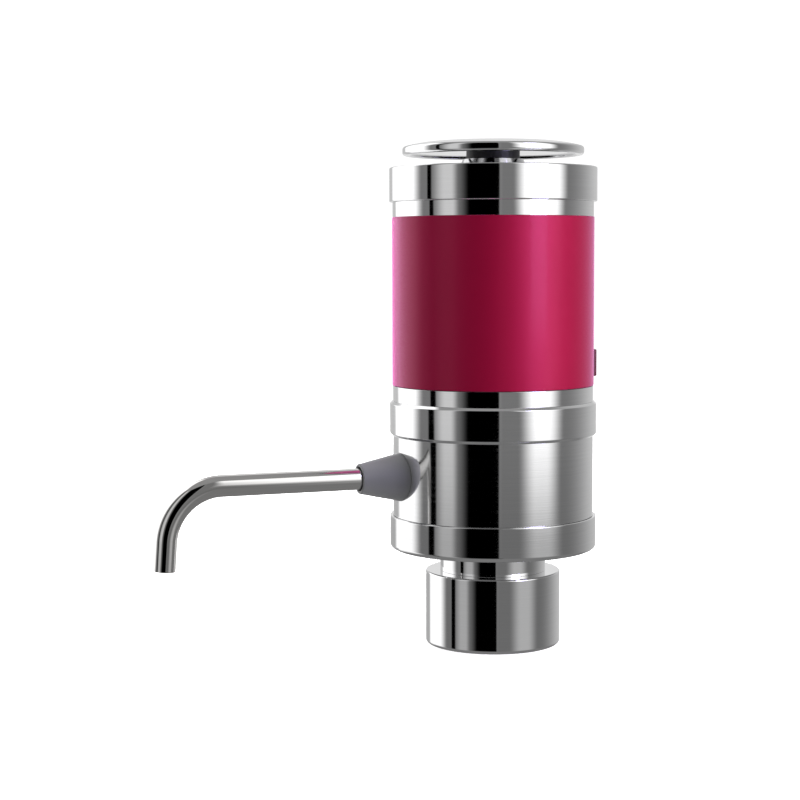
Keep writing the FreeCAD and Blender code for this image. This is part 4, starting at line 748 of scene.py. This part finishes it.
CEILING_Z = (TENT_WALL_TOP, TENT_WALL_TOP + 60)
BOTTOM = 0.20               # lowest part of the tent
BOTTOM_Z = (-200, -90)
WORLD_RAMP = {"From Min": -0.9, "From Max": -0.1, "To Min": 1.4, "To Max": 0.2}
WHITE = (1.0, 1.0, 1.0)


def camera():
    """Camera at the photograph's viewing angle."""
    view = bpy.data.cameras.new("camera")
    view.lens = CAMERA_LENS
    view.sensor_width = CAMERA_SENSOR
    thing = bpy.data.objects.new("camera", view)
    bpy.context.scene.collection.objects.link(thing)
    to_axis = Vector((-CAMERA_PLACE.x, -CAMERA_PLACE.y, 0)).normalized()
    heading = Matrix.Rotation(math.radians(CAMERA_PAN), 3, "Z") @ to_axis
    tilt = math.radians(CAMERA_TILT)
    forward = heading * math.cos(tilt) - Vector((0, 0, math.sin(tilt)))
    thing.location = CAMERA_PLACE * MM
    roll = Quaternion((0, 0, 1), math.radians(CAMERA_ROLL))
    thing.rotation_euler = (forward.to_track_quat("-Z", "Y") @ roll).to_euler()
    bpy.context.scene.camera = thing


def tent_light():
    """Brightness of the tent's wall by the angle round it and the height."""
    m = Nodes("tent_panels")
    m.tree.nodes.remove(m.shader)
    turn = -math.atan2(CAMERA_PLACE.y, CAMERA_PLACE.x)
    parts = m.add("SeparateXYZ", [("Vector", m.place(turn=turn))])
    angle = m.math("ARCTAN2", parts.outputs["Y"], parts.outputs["X"])
    degrees = m.math("MULTIPLY", angle, 180 / math.pi)

    def rises(start, end):
        """From 0 to 1 between two heights."""
        return m.spread(parts.outputs["Z"], 0, 1, start * MM, end * MM)

    def between(factor, low, high):
        return m.spread(factor, low, high, 0, 1) if low != high else low

    def edge(low, low_soft, high, high_soft):
        """From 0 to 1 across an edge whose place and softness change with the height."""
        start = between(high_up, low - low_soft, high - high_soft)
        end = between(high_up, low + low_soft, high + high_soft)
        return m.spread(degrees, 0, 1, start, end, "SMOOTHSTEP")

    bright_part = rises(*BRIGHTNESS_Z)
    high_up = rises(*EDGES_Z)
    value = between(bright_part, *TENT_GREY)
    for low, high, below, above in PANELS:
        inside = m.math("MULTIPLY", edge(*low[:2], *high[:2]),
                        m.math("SUBTRACT", 1.0, edge(*low[2:], *high[2:])))
        value = m.blend(inside, value, between(bright_part, below, above))
    value = m.blend(rises(*CEILING_Z), value, CEILING)
    value = m.blend(rises(*BOTTOM_Z), BOTTOM, value)
    glow = m.add("Emission", [("Strength", value)])
    m.join(glow.outputs[0], m.tree.nodes["Material Output"].inputs["Surface"])
    return m.material


def tent():
    """Light tent that only reflections see."""
    dome = TENT_TOP - TENT_WALL_TOP
    outline = [Vector((0, TENT_LOW)), Vector((TENT_R, TENT_LOW))]
    outline += [Vector((TENT_R * math.cos(a), TENT_WALL_TOP + dome * math.sin(a)))
                for a in (math.radians(90 * step / DOME_STEPS) for step in range(DOME_STEPS))]
    outline.append(Vector((0, TENT_TOP)))
    mesh = lathe(outline, SMALL_SEGMENTS)
    mesh.materials.append(tent_light())
    thing = bpy.data.objects.new("light_tent", mesh)
    bpy.context.scene.collection.objects.link(thing)
    thing.visible_camera = False
    thing.visible_diffuse = False
    thing.visible_shadow = False


def area_light(name, place, target, size, power, mirrored=False, colour=WHITE):
    """Soft lamp of a width and a height."""
    lamp = bpy.data.lights.new(name, "AREA")
    lamp.color = colour
    lamp.shape = "RECTANGLE"
    lamp.size, lamp.size_y = (length * MM for length in size)
    lamp.energy = power
    thing = bpy.data.objects.new(name, lamp)
    bpy.context.scene.collection.objects.link(thing)
    thing.location = Vector(place) * MM
    thing.rotation_euler = (Vector(target) - Vector(place)).to_track_quat("-Z", "Y").to_euler()
    thing.visible_camera = False
    thing.visible_glossy = mirrored


def round_the_object(degrees, distance, height):
    """Place at an angle from the camera's direction, to the picture's right."""
    a = math.atan2(CAMERA_PLACE.y, CAMERA_PLACE.x) + math.radians(degrees)
    return (distance * math.cos(a), distance * math.sin(a), height)


def lights():
    """World that is strong from below and weak above, and four soft lamps."""
    world = bpy.data.worlds.new("studio")
    world.use_nodes = True
    bpy.context.scene.world = world
    nodes = world.node_tree.nodes
    links = world.node_tree.links
    where = nodes.new("ShaderNodeTexCoord")
    parts = nodes.new("ShaderNodeSeparateXYZ")
    ramp = nodes.new("ShaderNodeMapRange")
    for socket, number in WORLD_RAMP.items():
        ramp.inputs[socket].default_value = number
    links.new(where.outputs["Generated"], parts.inputs[0])
    links.new(parts.outputs["Z"], ramp.inputs["Value"])
    links.new(ramp.outputs["Result"], nodes["Background"].inputs["Strength"])
    nodes["Background"].inputs["Color"].default_value = (*WHITE, 1)
    middle = (0, 0, 80)
    area_light("softbox_right", round_the_object(51, 385, 250), (0, 0, 250), size=(130, 350), power=0.45,
               mirrored=True, colour=(1.0, 0.9, 1.7))
    area_light("key_right", round_the_object(70, 700, 200), middle, size=(400, 400), power=4.6)
    area_light("overhead", (0, -20, 900), middle, size=(600, 600), power=9.0)
    area_light("fill_left", round_the_object(-150, 700, 160), middle, size=(400, 400), power=8.0)


def backdrop():
    """Plain white floor that sweeps up into a wall."""
    m = Nodes("white_sweep")
    paper = m.noise((40, 40, 40), detail=3)
    m.set(Base_Color=m.blend_colour(m.spread(paper, 0, 1), (0.80, 0.80, 0.80), (0.83, 0.83, 0.83)),
          Roughness=0.9, Emission_Color=(*WHITE, 1), Emission_Strength=0.85)
    sweep, far, wall, thick = 500, 2300, 2200, 5
    outline = [Vector((0, 0)), Vector((far - sweep, 0))]
    outline += arc((far - sweep, 0), 0, (far, sweep), steps=16)
    outline += [Vector((far, wall)), Vector((far + thick, wall)), Vector((far + thick, -thick)),
                Vector((0, -thick))]
    mesh = lathe(outline, SMALL_SEGMENTS)
    mesh.materials.append(m.material)
    floor = bpy.data.objects.new("white_sweep", mesh)
    bpy.context.scene.collection.objects.link(floor)
    floor.visible_glossy = False
    floor.visible_diffuse = False


# ---------------------------------------------------------------- making

dress_cad_nodes()
camera()
for make in (bottle_collar, neck_sleeve, base_ring, lower_shell, trim_ring, lower_band, color_sleeve,
             top_band, top_collar, button_guide, button_cap, button_stem, spout_tube, spout_cone):
    make()
tent()
lights()
backdrop()
bpy.context.scene.view_settings.view_transform = "Standard"
